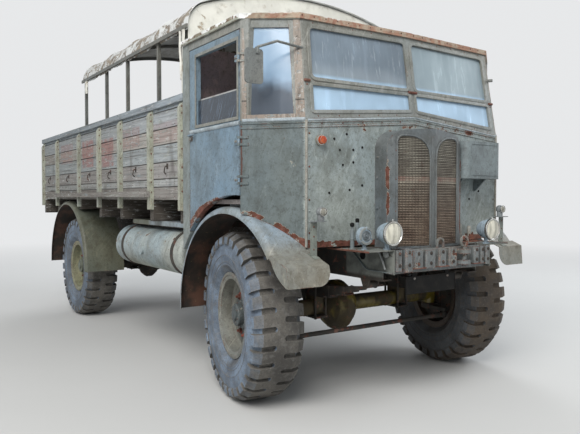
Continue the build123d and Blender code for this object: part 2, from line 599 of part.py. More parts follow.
# Front cross-member between the rails' ends, with ribs, towing jaw, its pin with a ring, and a staple
BUMPER_X = RAIL_FRONT_X
BUMPER_TOP_Z = 1050
BUMPER_LOW_Z = 935
BUMPER_HALF_W = 450
JAW_Y = 190
JAW_HALF_W = 62
JAW_NOSE_R = 44
JAW_X = F + 894
JAW_PIN_R = 16
JAW_LIPS = ((938, 964), (1010, 1040))
RING_Z = 1092
RING_HOLE_R = 25
RING_BAR = 18
RING_HALF_T = 8
STAPLE_X = F + 814
STAPLE_Y = 42
STAPLE_BAR = 12
STAPLE_R = 36
STAPLE_Z = 1084
with BuildPart() as bumper:
    block(BUMPER_X, BUMPER_X + 62, -BUMPER_HALF_W, BUMPER_HALF_W, BUMPER_LOW_Z, BUMPER_TOP_Z)
    block(BUMPER_X, BUMPER_X + 80, -BUMPER_HALF_W + 12, BUMPER_HALF_W - 12, BUMPER_LOW_Z - 30, BUMPER_LOW_Z)
    RIBS = (
        # low y, high y, rise over the beam, drop under it, reach in front of it
        (-448, -398, 8, 10, 63),
        (-372, -308, 14, 17, 66),
        (-290, -196, 0, 5, 51),
        (-180, -88, 0, 5, 56),
        (-52, 22, 2, 5, 51),
        (40, 118, 2, 7, 58),
        (300, 352, 0, 5, 51),
        (366, 398, 0, 5, 58),
        (412, 448, 5, 10, 63),
    )
    for y0, y1, rise, drop, reach in RIBS:
        x0 = BUMPER_X + 60
        x1 = BUMPER_X + 62 + reach
        prism_z([(x0, y0), (x1 - 8, y0), (x1, y0 + 8), (x1, y1 - 8), (x1 - 8, y1), (x0, y1)],
                BUMPER_LOW_Z - drop, BUMPER_TOP_Z + rise)
    block(BUMPER_X + 50, BUMPER_X + 72, JAW_Y - JAW_HALF_W - 4, JAW_Y + JAW_HALF_W + 10, BUMPER_LOW_Z - 12,
          BUMPER_TOP_Z + 4)
    for low_z, high_z in JAW_LIPS:
        prism_z([(BUMPER_X + 60, JAW_Y - JAW_HALF_W), (JAW_X, JAW_Y - JAW_NOSE_R),
                 (JAW_X + JAW_NOSE_R, JAW_Y, JAW_X, JAW_Y + JAW_NOSE_R),
                 (BUMPER_X + 60, JAW_Y + JAW_HALF_W)], low_z, high_z)
    cyl_z(JAW_X, JAW_Y, JAW_PIN_R, JAW_LIPS[0][0] - 14, RING_Z - RING_HOLE_R - RING_BAR / 2)
    ring_r = RING_HOLE_R + RING_BAR
    spin_x([(JAW_X - RING_HALF_T, RING_HOLE_R), (JAW_X - RING_HALF_T, ring_r - 5),
            (JAW_X, ring_r, JAW_X + RING_HALF_T, ring_r - 5), (JAW_X + RING_HALF_T, RING_HOLE_R)], JAW_Y,
            RING_Z)
    prism_x([(STAPLE_Y - STAPLE_R, BUMPER_TOP_Z - 2), (STAPLE_Y - STAPLE_R, STAPLE_Z),
             (STAPLE_Y, STAPLE_Z + STAPLE_R, STAPLE_Y + STAPLE_R, STAPLE_Z),
             (STAPLE_Y + STAPLE_R, BUMPER_TOP_Z - 2),
             (STAPLE_Y + STAPLE_R - STAPLE_BAR, BUMPER_TOP_Z - 2),
             (STAPLE_Y + STAPLE_R - STAPLE_BAR, STAPLE_Z),
             (STAPLE_Y, STAPLE_Z + STAPLE_R - STAPLE_BAR, STAPLE_Y - STAPLE_R + STAPLE_BAR, STAPLE_Z),
             (STAPLE_Y - STAPLE_R + STAPLE_BAR, BUMPER_TOP_Z - 2)], STAPLE_X - STAPLE_BAR / 2,
             STAPLE_X + STAPLE_BAR / 2)

# Blank registration plate hung under the cross-member
with BuildPart() as number_plate:
    block(F + 858, F + 862, -330, 138, 766, 880)
    for y in (-250, 60):
        block(F + 846, F + 858, y - 15, y + 15, 800, BUMPER_LOW_Z - 32)
        block(BUMPER_X + 40, F + 858, y - 15, y + 15, BUMPER_LOW_Z - 38, BUMPER_LOW_Z - 30 - SEAT_FIT)

# Cab floor in one sheet with a hatch over the engine, on feet that stand on the rails
HATCH_HALF_W = 335
HATCH_FRONT_X = F + 560
HATCH_REAR_X = F - 560
FLOOR_HALF_W = 1150
CAB_FEET = (F - 500, F + 480)
floor_plan = inset(CAB_PLAN, WALL_T + SEAT_FIT)
floor_post_x = line_x(floor_plan[1], floor_plan[2], FLOOR_HALF_W)
with BuildPart() as cab_floor:
    half = [floor_plan[1], (floor_post_x, FLOOR_HALF_W), (CAB_REAR_X + REAR_WALL_T, FLOOR_HALF_W)]
    prism_z([floor_plan[0]] + half + flip(list(reversed(half)), -1, 1), FLOOR_Z - FLOOR_T, FLOOR_Z)
    block(HATCH_REAR_X, HATCH_FRONT_X, -HATCH_HALF_W, HATCH_HALF_W, FLOOR_Z - 50, FLOOR_Z + 20,
          mode=Mode.SUBTRACT)
    for side in (1, -1):
        for x in CAB_FEET:
            prism_x(flip([(RAIL_Y, FRAME_TOP_Z), (RAIL_Y - 15, FLOOR_Z - FLOOR_T),
                          (RAIL_Y - 65, FLOOR_Z - FLOOR_T),
                          (RAIL_Y - RAIL_FLANGE, FRAME_TOP_Z)], side, 0), x - 30, x + 30)

# Cab skin: front panel under the rising sill, angled corners cut round the mudguards
RIB_OUT = 5
RIB_H = 12
RIB_DROPS = (14, 44)
HINGE_R = 9
HINGE_PIN_R = 4
HINGE_X = POST_X - 8
HINGE_Y = CAB_HALF_W + HINGE_R + 1
HINGE_ROWS = (1502, 1750, 2280)
skin_in = inset(CAB_PLAN, WALL_T)
skin_out = inset(CAB_PLAN, -RIB_OUT)
sill_end = skin_out[1][1]
SILL = [(sill_end, BELT_Z), (0, SILL_MID_Z), (-sill_end, BELT_Z)]
with BuildPart() as cab_front:
    prism_z([(CORNER_X, -CORNER_Y), (CAB_NOSE_X, 0), (CORNER_X, CORNER_Y), skin_in[1], skin_in[0],
             (skin_in[1][0], -skin_in[1][1])], SKIRT_Z, SILL_MID_Z)
    with BuildPart(mode=Mode.PRIVATE) as front_ribs:
        prism_z([(skin_out[1][0], -skin_out[1][1]), skin_out[0], skin_out[1], (CORNER_X - 2, CORNER_Y - 2),
                 (CAB_NOSE_X - 2, 0),
                 (CORNER_X - 2, -CORNER_Y + 2)], SKIRT_Z, SILL_MID_Z)
        with BuildPart(mode=Mode.PRIVATE) as bands:
            for drop in RIB_DROPS:
                upper = [(y, z - drop) for y, z in SILL]
                prism_x(upper + [(y, z - RIB_H) for y, z in reversed(upper)], F + 500, F + 700)
        add(bands.part, mode=Mode.INTERSECT)
    add(front_ribs.part)
    prism_x(SILL + [(-sill_end, SILL_MID_Z + 50), (sill_end, SILL_MID_Z + 50)], F + 500, F + 700,
            mode=Mode.SUBTRACT)
    cyl_y(GUARD_X, GUARD_Z, GUARD_R + SEAT_FIT, -CAB_HALF_W - 99, CAB_HALF_W + 99, mode=Mode.SUBTRACT)
with BuildPart() as cab_corners:
    for side in (1, -1):
        prism_z(flip([(CORNER_X, CORNER_Y), (POST_X, CAB_HALF_W), (POST_X - MOVE_GAP, CAB_HALF_W),
                      (POST_X - MOVE_GAP, corner_y(POST_X - MOVE_GAP, WALL_T)), skin_in[1]], side, 1),
                      SKIRT_Z, BELT_Z)
        for drop in RIB_DROPS:
            prism_z(flip([(CORNER_X - 2, CORNER_Y - 2), skin_out[1],
                          (POST_X + 4, corner_y(POST_X + 4, -RIB_OUT)),
                          (POST_X + 4, corner_y(POST_X + 4, 2)), (CORNER_X - 4, corner_y(CORNER_X - 4, 2))],
                          side, 1),
                    BELT_Z - drop - RIB_H, BELT_Z - drop)
        for z in HINGE_ROWS[:2]:
            for z0, z1 in ((z + 15 + SEAT_FIT, z + 30), (z - 30, z - 15 - SEAT_FIT)):
                prism_z(flip([(HINGE_X, HINGE_Y - 5), (HINGE_X, HINGE_Y + 4), (POST_X + 3, CAB_HALF_W + 7),
                              (POST_X + 42, corner_y(POST_X + 42, -6)),
                              (POST_X + 42, corner_y(POST_X + 42, 3)),
                              (POST_X - 1, CAB_HALF_W - 1)], side, 1), z0, z1)
                cyl_z(HINGE_X, side * HINGE_Y, HINGE_R, z0, z1)
            cyl_z(HINGE_X, side * HINGE_Y, HINGE_PIN_R, z - 30, z + 30)
    cyl_y(GUARD_X, GUARD_Z, GUARD_R + SEAT_FIT, -CAB_HALF_W - 99, CAB_HALF_W + 99, mode=Mode.SUBTRACT)

# Cab rear wall with corner posts that run down to the mudguards
REAR_POST_L = 116
REAR_POST_LOW_Z = 1000
with BuildPart() as cab_rear:
    block(CAB_REAR_X, CAB_REAR_X + REAR_WALL_T, -CAB_HALF_W, CAB_HALF_W, FLOOR_Z - FLOOR_T, ROOF_Z)
    for side in (1, -1):
        block(CAB_REAR_X, CAB_REAR_X + REAR_POST_L, side * CAB_HALF_W, side * (CAB_HALF_W - 40),
              REAR_POST_LOW_Z, ROOF_Z)
        block(CAB_REAR_X, CAB_REAR_X + REAR_WALL_T, side * CAB_HALF_W, side * (CAB_HALF_W - 160),
              REAR_POST_LOW_Z,
              FLOOR_Z - FLOOR_T)
    cyl_y(GUARD_X, GUARD_Z, GUARD_R + SEAT_FIT, -CAB_HALF_W - 99, CAB_HALF_W + 99, mode=Mode.SUBTRACT)


# Windscreen: each half is a flat frame between the corner post and the centre post
SCREEN_T = 34
PANE_DEPTH = 12
PANE_T = 6


def screen_point(side, s, t):
    a = Vector(CORNER_X, side * CORNER_Y, BELT_Z)
    b = Vector(SCREEN_TOP_X, side * SCREEN_TOP_Y, ROOF_Z)
    d = Vector(CAB_NOSE_X, 0, SILL_MID_Z)
    c = Vector(SCREEN_MID_X, 0, ROOF_Z)
    low = a + (d - a) * s
    high = b + (c - b) * s
    return low + (high - low) * t


def screen_plane(side):
    along = (screen_point(side, 1, 1) - screen_point(side, 0, 1)).normalized()
    up = (screen_point(side, 0.5, 1) - screen_point(side, 0.5, 0)).normalized()
    normal = along.cross(up).normalized()
    if normal.X < 0:
        normal = normal * -1
    return Plane(origin=screen_point(side, 0, 0), x_dir=along, z_dir=normal)


def screen_plate(side, corners, front, back, mode=Mode.ADD):
    # corners are (s, t) pairs; front and back are depths behind the outer face
    plane = screen_plane(side)
    path = []
    for s, t in corners:
        q = plane.to_local_coords(screen_point(side, s, t))
        path.append((q.X, q.Y))
    extrude(face_on(plane.offset(-back), path), amount=back - front, mode=mode)


def rail_t(s):
    # Height of the middle rail as a share of the screen's height
    return 0.38 - 0.083 * s


STILE = 0.065
MULLION = 0.038
UPPER_PANE = [(STILE, rail_t(STILE) + 0.03), (1 - MULLION, rail_t(1 - MULLION) + 0.03), (1 - MULLION, 0.93),
              (STILE, 0.93)]
LOWER_PANE = [(STILE, 0.07), (1 - MULLION, 0.07), (1 - MULLION, rail_t(1 - MULLION) - 0.03),
              (STILE, rail_t(STILE) - 0.03)]
POST_LOW = [(CORNER_X, CORNER_Y), (CORNER_X + 1, CORNER_Y - 47), (CORNER_X - 58, CORNER_Y - 30),
            (CORNER_X - 60, corner_y(CORNER_X - 60))]
top_post_y = SCREEN_TOP_Y + 47 * (CAB_HALF_W - SCREEN_TOP_Y) / (SCREEN_TOP_X - POST_X)
POST_HIGH = [(SCREEN_TOP_X, SCREEN_TOP_Y), (SCREEN_TOP_X + 2, SCREEN_TOP_Y - 47),
             (SCREEN_TOP_X - 57, SCREEN_TOP_Y - 29),
             (SCREEN_TOP_X - 47, top_post_y)]
HEADER_Z = 2465
POST_W = 40
with BuildPart() as cab_frame:
    for side in (1, -1):
        screen_plate(side, [(0, 0), (1, 0), (1, 1), (0, 1)], 0, SCREEN_T)
    for side in (1, -1):
        screen_plate(side, UPPER_PANE, -5, SCREEN_T + 6, mode=Mode.SUBTRACT)
        screen_plate(side, LOWER_PANE, -5, SCREEN_T + 6, mode=Mode.SUBTRACT)
    for side in (1, -1):
        ruled(flip(POST_LOW, side, 1), BELT_Z, flip(POST_HIGH, side, 1), ROOF_Z)
        prism_z(flip([(POST_X, CAB_HALF_W), (POST_X - MOVE_GAP, CAB_HALF_W),
                      (POST_X - MOVE_GAP, CAB_HALF_W - 50),
                      (POST_X + 10, CAB_HALF_W - 60), (POST_X + POST_W, corner_y(POST_X + POST_W, 36)),
                      (POST_X + POST_W, corner_y(POST_X + POST_W))], side, 1), BELT_Z, ROOF_Z)
        prism_z(flip([(CAB_REAR_X + REAR_POST_L, CAB_HALF_W), (POST_X, CAB_HALF_W),
                      (SCREEN_TOP_X, SCREEN_TOP_Y),
                      (SCREEN_TOP_X - 48, SCREEN_TOP_Y - 9), (POST_X - 26, CAB_HALF_W - 42),
                      (CAB_REAR_X + REAR_POST_L, CAB_HALF_W - 42)], side, 1), HEADER_Z, ROOF_Z)
        z = HINGE_ROWS[2]
        for z0, z1 in ((z + 15 + SEAT_FIT, z + 30), (z - 30, z - 15 - SEAT_FIT)):
            prism_z(flip([(HINGE_X, HINGE_Y - 5), (HINGE_X, HINGE_Y + 4), (POST_X + 3, CAB_HALF_W + 7),
                          (POST_X + 34, corner_y(POST_X + 34, -6)), (POST_X + 34, corner_y(POST_X + 34, 3)),
                          (POST_X - 1, CAB_HALF_W - 1)], side, 1), z0, z1)
            cyl_z(HINGE_X, side * HINGE_Y, HINGE_R, z0, z1)
        cyl_z(HINGE_X, side * HINGE_Y, HINGE_PIN_R, z - 30, z + 30)
    prism_z([(SCREEN_TOP_X - 2, -SCREEN_TOP_Y + 4), (SCREEN_MID_X - 2, 0),
             (SCREEN_TOP_X - 2, SCREEN_TOP_Y - 4),
             (SCREEN_TOP_X - 48, SCREEN_TOP_Y - 4), (SCREEN_MID_X - 52, 0),
             (SCREEN_TOP_X - 48, -SCREEN_TOP_Y + 4)],
            HEADER_Z + 5, ROOF_Z)
    block(CAB_REAR_X - 50, F + 700, -CAB_HALF_W - 99, CAB_HALF_W + 99, ROOF_Z, ROOF_Z + 99,
          mode=Mode.SUBTRACT)
    prism_x(SILL + [(-sill_end, BELT_Z - 120), (sill_end, BELT_Z - 120)], F + 400, F + 700,
            mode=Mode.SUBTRACT)

# Inner posts behind the corners, from the floor to the sill
with BuildPart() as door_posts:
    for side in (1, -1):
        prism_z(flip([(POST_X - 4, corner_y(POST_X - 4, WALL_T + SEAT_FIT)), (POST_X - 4, CAB_HALF_W - 72),
                      (POST_X + POST_W, CAB_HALF_W - 82), (POST_X + POST_W,
                                                           corner_y(POST_X + POST_W, WALL_T + SEAT_FIT))],
                     side, 1), FLOOR_Z, BELT_Z)

with BuildPart() as windscreen_glass:
    for side in (1, -1):
        screen_plate(side, UPPER_PANE, PANE_DEPTH, PANE_DEPTH + PANE_T)
        screen_plate(side, LOWER_PANE, PANE_DEPTH, PANE_DEPTH + PANE_T)
    add(cab_frame.part, mode=Mode.SUBTRACT)


def quarter_line(depth, head):
    # Corner end and post end of the angled side, set in by depth, at the sill or at the header
    corner = Vector(SCREEN_TOP_X, SCREEN_TOP_Y) if head else Vector(CORNER_X, CORNER_Y)
    post = Vector(POST_X, CAB_HALF_W)
    run = (post - corner).normalized()
    inward = Vector(-run.Y, run.X) * depth
    return corner + run * 20 + inward, post - run * 8 + inward


# Angled quarter windows between corner post and door post
with BuildPart() as quarter_glass:
    for side in (1, -1):
        paths = []
        for head in (False, True):
            a, b = quarter_line(PANE_DEPTH, head)
            c, d = quarter_line(PANE_DEPTH + PANE_T, head)
            paths.append(flip([(a.X, a.Y), (b.X, b.Y), (d.X, d.Y), (c.X, c.Y)], side, 1))
        ruled(paths[0], BELT_Z, paths[1], HEADER_Z)
    add(cab_frame.part, mode=Mode.SUBTRACT)

# Cab roof: a hollow crowned skin over a drip edge
ROOF_EDGE_T = 34
ROOF_RISE = 72
ROOF = [(CAB_REAR_X - 4, CAB_HALF_W + 14), (POST_X + 2, CAB_HALF_W + 14),
        (SCREEN_TOP_X + 12, SCREEN_TOP_Y + 14),
        (SCREEN_MID_X + 14, 0)]
ROOF_IN = [(CAB_REAR_X + 2, CAB_HALF_W + 4), (POST_X - 4, CAB_HALF_W + 4),
           (SCREEN_TOP_X + 2, SCREEN_TOP_Y + 9),
           (SCREEN_MID_X + 2, 0)]
ROOF_TOP = [(CAB_REAR_X + 8, 900), (F + 120, 880), (F + 300, 650), (F + 330, 0)]
ROOF_VOID = [(CAB_REAR_X + REAR_WALL_T, CAB_HALF_W - 42), (POST_X - 40, CAB_HALF_W - 42),
             (SCREEN_TOP_X - 52, SCREEN_TOP_Y - 12),
             (SCREEN_MID_X - 56, 0)]
VOID_TOP = [(CAB_REAR_X + REAR_WALL_T, 860), (F + 90, 840), (F + 270, 620), (F + 300, 0)]


def both_sides(half):
    return half + flip(list(reversed(half[:-1])), -1, 1)


with BuildPart() as cab_roof:
    prism_z(both_sides(ROOF), ROOF_Z, ROOF_Z + ROOF_EDGE_T)
    ruled(both_sides(ROOF_IN), ROOF_Z + ROOF_EDGE_T, both_sides(ROOF_TOP), ROOF_Z + ROOF_EDGE_T + ROOF_RISE)
    ruled(both_sides(ROOF_VOID), ROOF_Z, both_sides(VOID_TOP), ROOF_Z + ROOF_EDGE_T + ROOF_RISE - 20,
          mode=Mode.SUBTRACT)

# Radiator cowl with two arched openings
COWL_HALF_W = 359
COWL_CREASE_X = F + 714
COWL_EDGE = (F + 735, 306)
COWL_NOSE = (F + 786, 20)
COWL_T = 9
COWL_TOP_Z = 1854
COWL_SHOULDER_Z = 1690
cowl_low_z = BUMPER_TOP_Z + SEAT_FIT
COWL_PLAN = [(COWL_NOSE[0], 0), COWL_NOSE, COWL_EDGE, (COWL_CREASE_X, COWL_HALF_W),
             (panel_x(COWL_HALF_W) + SEAT_FIT, COWL_HALF_W)]


def cowl_face(t):
    w = COWL_HALF_W + 2
    return [(w, cowl_low_z - 2 * t), (w, COWL_SHOULDER_Z - 2 * t),
            (325 - t, COWL_TOP_Z - 59 - t, 240, COWL_TOP_Z - 18 - t),
            (0, COWL_TOP_Z - t, -240, COWL_TOP_Z - 18 - t), (-325 + t, COWL_TOP_Z - 59 - t, -w,
                                                             COWL_SHOULDER_Z - 2 * t),
            (-w, cowl_low_z - 2 * t)]


def arch(side, grow):
    # One opening: straight outer edge with a tight top corner, inner edge sweeping down to the centre bar
    return flip([(24 - grow, 1066 - grow), (24 - grow, 1655), (72 - grow, 1762 + grow, 170, 1802 + grow),
                 (240, 1802 + grow), (276 + grow, 1790 + grow, 288 + grow, 1752),
                 (288 + grow, 1066 - grow)], side, 0)


with BuildPart() as cowl:
    side_plan = COWL_PLAN[1:]
    prism_z(side_plan + [(panel_x(0) + SEAT_FIT, 0)] + flip(list(reversed(side_plan)), -1, 1), cowl_low_z,
            COWL_TOP_Z)
    prism_x(cowl_face(0), F + 500, F + 900, mode=Mode.INTERSECT)
    with BuildPart(mode=Mode.PRIVATE) as cowl_void:
        half = inset(COWL_PLAN, COWL_T)[1:]
        half.append((half[-1][0] - 60, half[-1][1]))
        prism_z(half + flip(list(reversed(half)), -1, 1), cowl_low_z - 9, COWL_TOP_Z)
        prism_x(cowl_face(COWL_T), F + 500, F + 900, mode=Mode.INTERSECT)
    add(cowl_void.part, mode=Mode.SUBTRACT)
    for side in (1, -1):
        prism_x(arch(side, 0), F + 640, F + 900, mode=Mode.SUBTRACT)


def cowl_slab(side, t0, t1):
    near = inset(COWL_PLAN, t0)
    far = inset(COWL_PLAN, t1)
    prism_z(flip([near[1], near[2], far[2], far[1]], side, 1), 1040, COWL_TOP_Z)


# Grille: a plate inside each opening with horizontal bars and one broad band
BAR_PITCH = 11
BAR_H = 5
BAR_LOW_Z = 1072
BAR_TOP_Z = 1806
GRILLE_T = 4
BAND_Z = (1486, 1530)
with BuildPart() as grille:
    for side in (1, -1):
        with BuildPart(mode=Mode.PRIVATE) as plate:
            cowl_slab(side, COWL_T + SEAT_FIT, COWL_T + SEAT_FIT + GRILLE_T)
            prism_x(arch(side, 6), F + 640, F + 900, mode=Mode.INTERSECT)
        with BuildPart(mode=Mode.PRIVATE) as bars:
            for bar in range(int((BAR_TOP_Z - BAR_LOW_Z) / BAR_PITCH)):
                z = BAR_LOW_Z + bar * BAR_PITCH
                if not BAND_Z[0] - BAR_H < z + BAR_H / 2 < BAND_Z[1] + BAR_H:
                    block(F + 690, F + 800, side * 10, side * 300, z, z + BAR_H)
            block(F + 690, F + 800, side * 10, side * 300, *BAND_Z)
            with BuildPart(mode=Mode.PRIVATE) as depth:
                cowl_slab(side, 2, COWL_T + SEAT_FIT + 1)
                prism_x(arch(side, -1), F + 640, F + 900, mode=Mode.INTERSECT)
            add(depth.part, mode=Mode.INTERSECT)
        add(plate.part)
        add(bars.part)

# Radiator block behind the grille, on the front cross-member
with BuildPart() as radiator:
    block(F + 625, F + 690, -280, 280, 1046, 1740)

# Headlamps on the nose plates, horn, side lamps on the mudguards, direction lamps
LAMP_X = F + 905
LAMP_Y = 480
LAMP_Z = 1166
LAMP_R = 75
LENS_R = 66
SIDE_LAMP_X = F + 670
SIDE_LAMP_Y = 866
SIDE_LAMP_Z = 1302
SIDE_LAMP_R = 30
SIDE_RIM_R = 27
side_rim_x = SIDE_LAMP_X + 28
side_neck = sqrt(SIDE_LAMP_R ** 2 - SIDE_RIM_R ** 2)
side_half = (pi + atan2(SIDE_RIM_R, side_neck)) / 2
with BuildPart() as lamp_bodies:
    for side in (1, -1):
        y = side * LAMP_Y
        x = LAMP_X
        spin_x([(x - 8, 0), (x - 8, LENS_R), (x, LENS_R), (x, LAMP_R), (x - 16, LAMP_R), (x - 16, LAMP_R - 4),
                (x - 50, LAMP_R - 7, x - 84, LAMP_R - 17), cap(x - 84, LAMP_R - 17, x - 128)], y, LAMP_Z)
        cyl_z(x - 60, y, 14, FRAME_TOP_Z, LAMP_Z - 40)
        cyl_z(x - 60, y, 24, FRAME_TOP_Z, FRAME_TOP_Z + 8)
        # Side lamp on a riveted bracket
        prism_y([(F + 620, nose_z(F + 620) + SEAT_FIT), (F + 690, nose_z(F + 690) + SEAT_FIT),
                 (F + 690, nose_z(F + 690) + 5),
                 (F + 655, nose_z(F + 655) + 5), (F + 655, 1240), (F + 647, 1240),
                 (F + 647, nose_z(F + 647) + 5),
                 (F + 620, nose_z(F + 620) + 5)], side * (GUARD_IN_Y + 4), side * (GUARD_IN_Y + 50))
        block(F + 640, F + 700, side * 842, side * (GUARD_IN_Y + 50), 1240, 1246)
        cyl_z(SIDE_LAMP_X, side * SIDE_LAMP_Y, 22, 1246, SIDE_LAMP_Z - 20)
        spin_x([(side_rim_x, 0), (side_rim_x, SIDE_RIM_R), (SIDE_LAMP_X + side_neck, SIDE_RIM_R),
                (SIDE_LAMP_X + SIDE_LAMP_R * cos(side_half), SIDE_LAMP_R * sin(side_half),
                 SIDE_LAMP_X - SIDE_LAMP_R, 0)],
               side * SIDE_LAMP_Y, SIDE_LAMP_Z)
    spin_x([(F + 730, 0), (F + 730, 40), (F + 745, 58), (F + 776, 58), (F + 780, 50), (F + 780, 34),
            (F + 776, 30), (F + 776, 10),
            (F + 784, 8), (F + 784, 0)], -590, 1148)
    cyl_z(F + 758, -590, 12, FRAME_TOP_Z, 1110)
    cyl_z(F + 758, -590, 20, FRAME_TOP_Z, FRAME_TOP_Z + 6)
with BuildPart() as lamp_lenses:
    for side in (1, -1):
        x = LAMP_X - 8 + SEAT_FIT
        spin_x([(x, 0), (x, LENS_R - SEAT_FIT), (x + 8, LENS_R - SEAT_FIT),
                cap(x + 8, LENS_R - SEAT_FIT, x + 18)], side * LAMP_Y, LAMP_Z)
        x = side_rim_x + SEAT_FIT
        spin_x([(x, 0), (x, 25), cap(x, 25, x + 11)], side * SIDE_LAMP_Y, SIDE_LAMP_Z)


def on_panel(y, out):
    nx = CORNER_Y / hypot(CORNER_Y, CAB_NOSE_X - CORNER_X)
    ny = (CAB_NOSE_X - CORNER_X) / hypot(CORNER_Y, CAB_NOSE_X - CORNER_X)
    return panel_x(y) + nx * out, y + (ny if y > 0 else -ny) * out


DIRECTION_Y = 813
DIRECTION_Z = 1750
with BuildPart() as direction_lamps:
    for side in (1, -1):
        base = (*on_panel(side * DIRECTION_Y, SEAT_FIT), DIRECTION_Z)
        step = (*on_panel(side * DIRECTION_Y, 14), DIRECTION_Z)
        tip = (*on_panel(side * DIRECTION_Y, 42), DIRECTION_Z)
        rod(base, step, 36)
        rod(step, tip, 25)

# Rounded box on the left of the front panel with its bracket
BOX_IN_Y = 366
BOX_OUT_Y = 760
BOX_X = F + 765
BOX_LOW_Z = 1528
BOX_TOP_Z = 1797
BOX_CORNER = 60
with BuildPart() as front_box:
    prism_z([(panel_x(BOX_IN_Y) + SEAT_FIT, BOX_IN_Y), (BOX_X - BOX_CORNER, BOX_IN_Y),
             (BOX_X - BOX_CORNER * 0.3, BOX_IN_Y + BOX_CORNER * 0.3, BOX_X, BOX_IN_Y + BOX_CORNER),
             (BOX_X, BOX_OUT_Y - BOX_CORNER),
             (BOX_X - BOX_CORNER * 0.3, BOX_OUT_Y - BOX_CORNER * 0.3, BOX_X - BOX_CORNER, BOX_OUT_Y),
             (panel_x(BOX_OUT_Y) + SEAT_FIT, BOX_OUT_Y)], BOX_LOW_Z, BOX_TOP_Z)
    for y in (400, 650):
        prism_y([(panel_x(y + 20) + 2, BOX_LOW_Z + 1), (BOX_X - 60, BOX_LOW_Z + 1),
                 (panel_x(y + 20) + 12, BOX_LOW_Z - 90),
                 (panel_x(y + 20) + 2, BOX_LOW_Z - 90)], y, y + 12)

# Mirror on a bent arm at the right corner post, and the bare bracket on the left one
MIRROR_Y = -1225
MIRROR_Z = 2185
MIRROR_W = 126
MIRROR_H = 210
MIRROR_CORNER = 22
MIRROR_RIM = 8
with BuildPart() as mirror_arm:
    rod((F + 512, -890, 2330), (F + 515, -1085, 2345), 8)
    rod((F + 515, -1085, 2345), (F + 482, MIRROR_Y + 20, 2300), 8)
    with Locations((F + 515, -1085, 2345)):
        Sphere(8)
    rod((F + 482, MIRROR_Y + 20, 2300), (F + 482, MIRROR_Y + 20, 2270), 8)
    with BuildSketch(Plane(origin=(F + 466, MIRROR_Y, MIRROR_Z), x_dir=(0, 1, 0),
                           z_dir=(1, 0, 0))) as mirror_head:
        RectangleRounded(MIRROR_W, MIRROR_H, MIRROR_CORNER)
    extrude(mirror_head.sketch, amount=12)
    block(F + 470, F + 486, MIRROR_Y + 8, MIRROR_Y + 32, 2262, 2300)
    rod((F + 510, 880, 2310), (F + 560, 905, 2310), 12)
    add(cab_frame.part, mode=Mode.SUBTRACT)
with BuildPart() as mirror_glass:
    with BuildSketch(Plane(origin=(F + 462, MIRROR_Y, MIRROR_Z), x_dir=(0, 1, 0),
                           z_dir=(1, 0, 0))) as mirror_pane:
        RectangleRounded(MIRROR_W - 2 * MIRROR_RIM, MIRROR_H - 2 * MIRROR_RIM, MIRROR_CORNER - MIRROR_RIM)
    extrude(mirror_pane.sketch, amount=4)

# Cab interior: engine cover, seats, dash, steering column and wheel, levers
COVER_HALF_W = 347
COVER_T = 8
COVER_TOP_Z = 1640
with BuildPart() as engine_cover:
    prism_y([(HATCH_REAR_X - 6, FLOOR_Z), (HATCH_FRONT_X + 12, FLOOR_Z),
             (HATCH_FRONT_X + 12, COVER_TOP_Z - 40),
             (F + 480, COVER_TOP_Z), (HATCH_REAR_X - 6, COVER_TOP_Z)], -COVER_HALF_W, COVER_HALF_W)
    prism_y([(HATCH_REAR_X + 2, FLOOR_Z - 9), (HATCH_FRONT_X + 4, FLOOR_Z - 9),
             (HATCH_FRONT_X + 4, COVER_TOP_Z - 43),
             (F + 477, COVER_TOP_Z - COVER_T), (HATCH_REAR_X + 2, COVER_TOP_Z - COVER_T)],
            -COVER_HALF_W + COVER_T, COVER_HALF_W - COVER_T, mode=Mode.SUBTRACT)
SEAT_BASE_Z = 1640
SEAT_IN_Y = 480
SEAT_OUT_Y = 1010
CUSHION_T = 100
with BuildPart() as seats:
    for side in (1, -1):
        block(F - 480, F + 10, side * SEAT_IN_Y, side * SEAT_OUT_Y, FLOOR_Z, SEAT_BASE_Z)
        prism_y([(F - 560, FLOOR_Z), (F - 479, FLOOR_Z), (F - 479, SEAT_BASE_Z), (F - 500, SEAT_BASE_Z),
                 (F - 520, 2140), (F - 560, 2140)],
                side * (SEAT_IN_Y + 20), side * (SEAT_OUT_Y - 20))
with BuildPart() as seat_cushions:
    for side in (1, -1):
        block(F - 480, F + 14, side * (SEAT_IN_Y + 10), side * (SEAT_OUT_Y - 10), SEAT_BASE_Z + SEAT_FIT,
              SEAT_BASE_Z + CUSHION_T)
        prism_y([(F - 504, SEAT_BASE_Z + CUSHION_T + 5), (F - 425, SEAT_BASE_Z + CUSHION_T + 5),
                 (F - 450, 2110), (F - 518.4, 2110)],
                side * (SEAT_IN_Y + 30), side * (SEAT_OUT_Y - 30))
DASH_Y = 860
dash_gap = WALL_T + SEAT_FIT
with BuildPart() as dash:
    prism_z([(panel_x(DASH_Y, dash_gap), -DASH_Y), (panel_x(0, dash_gap), 0),
             (panel_x(DASH_Y, dash_gap), DASH_Y),
             (F + 470, DASH_Y), (F + 470, -DASH_Y)], 1700, 1860)
    prism_y([(F + 460, 1690), (F + 505, 1690), (F + 470, 1861), (F + 460, 1861)], -DASH_Y - 5, DASH_Y + 5,
            mode=Mode.SUBTRACT)
STEER_Y = -700
WHEEL_RING_R = 235
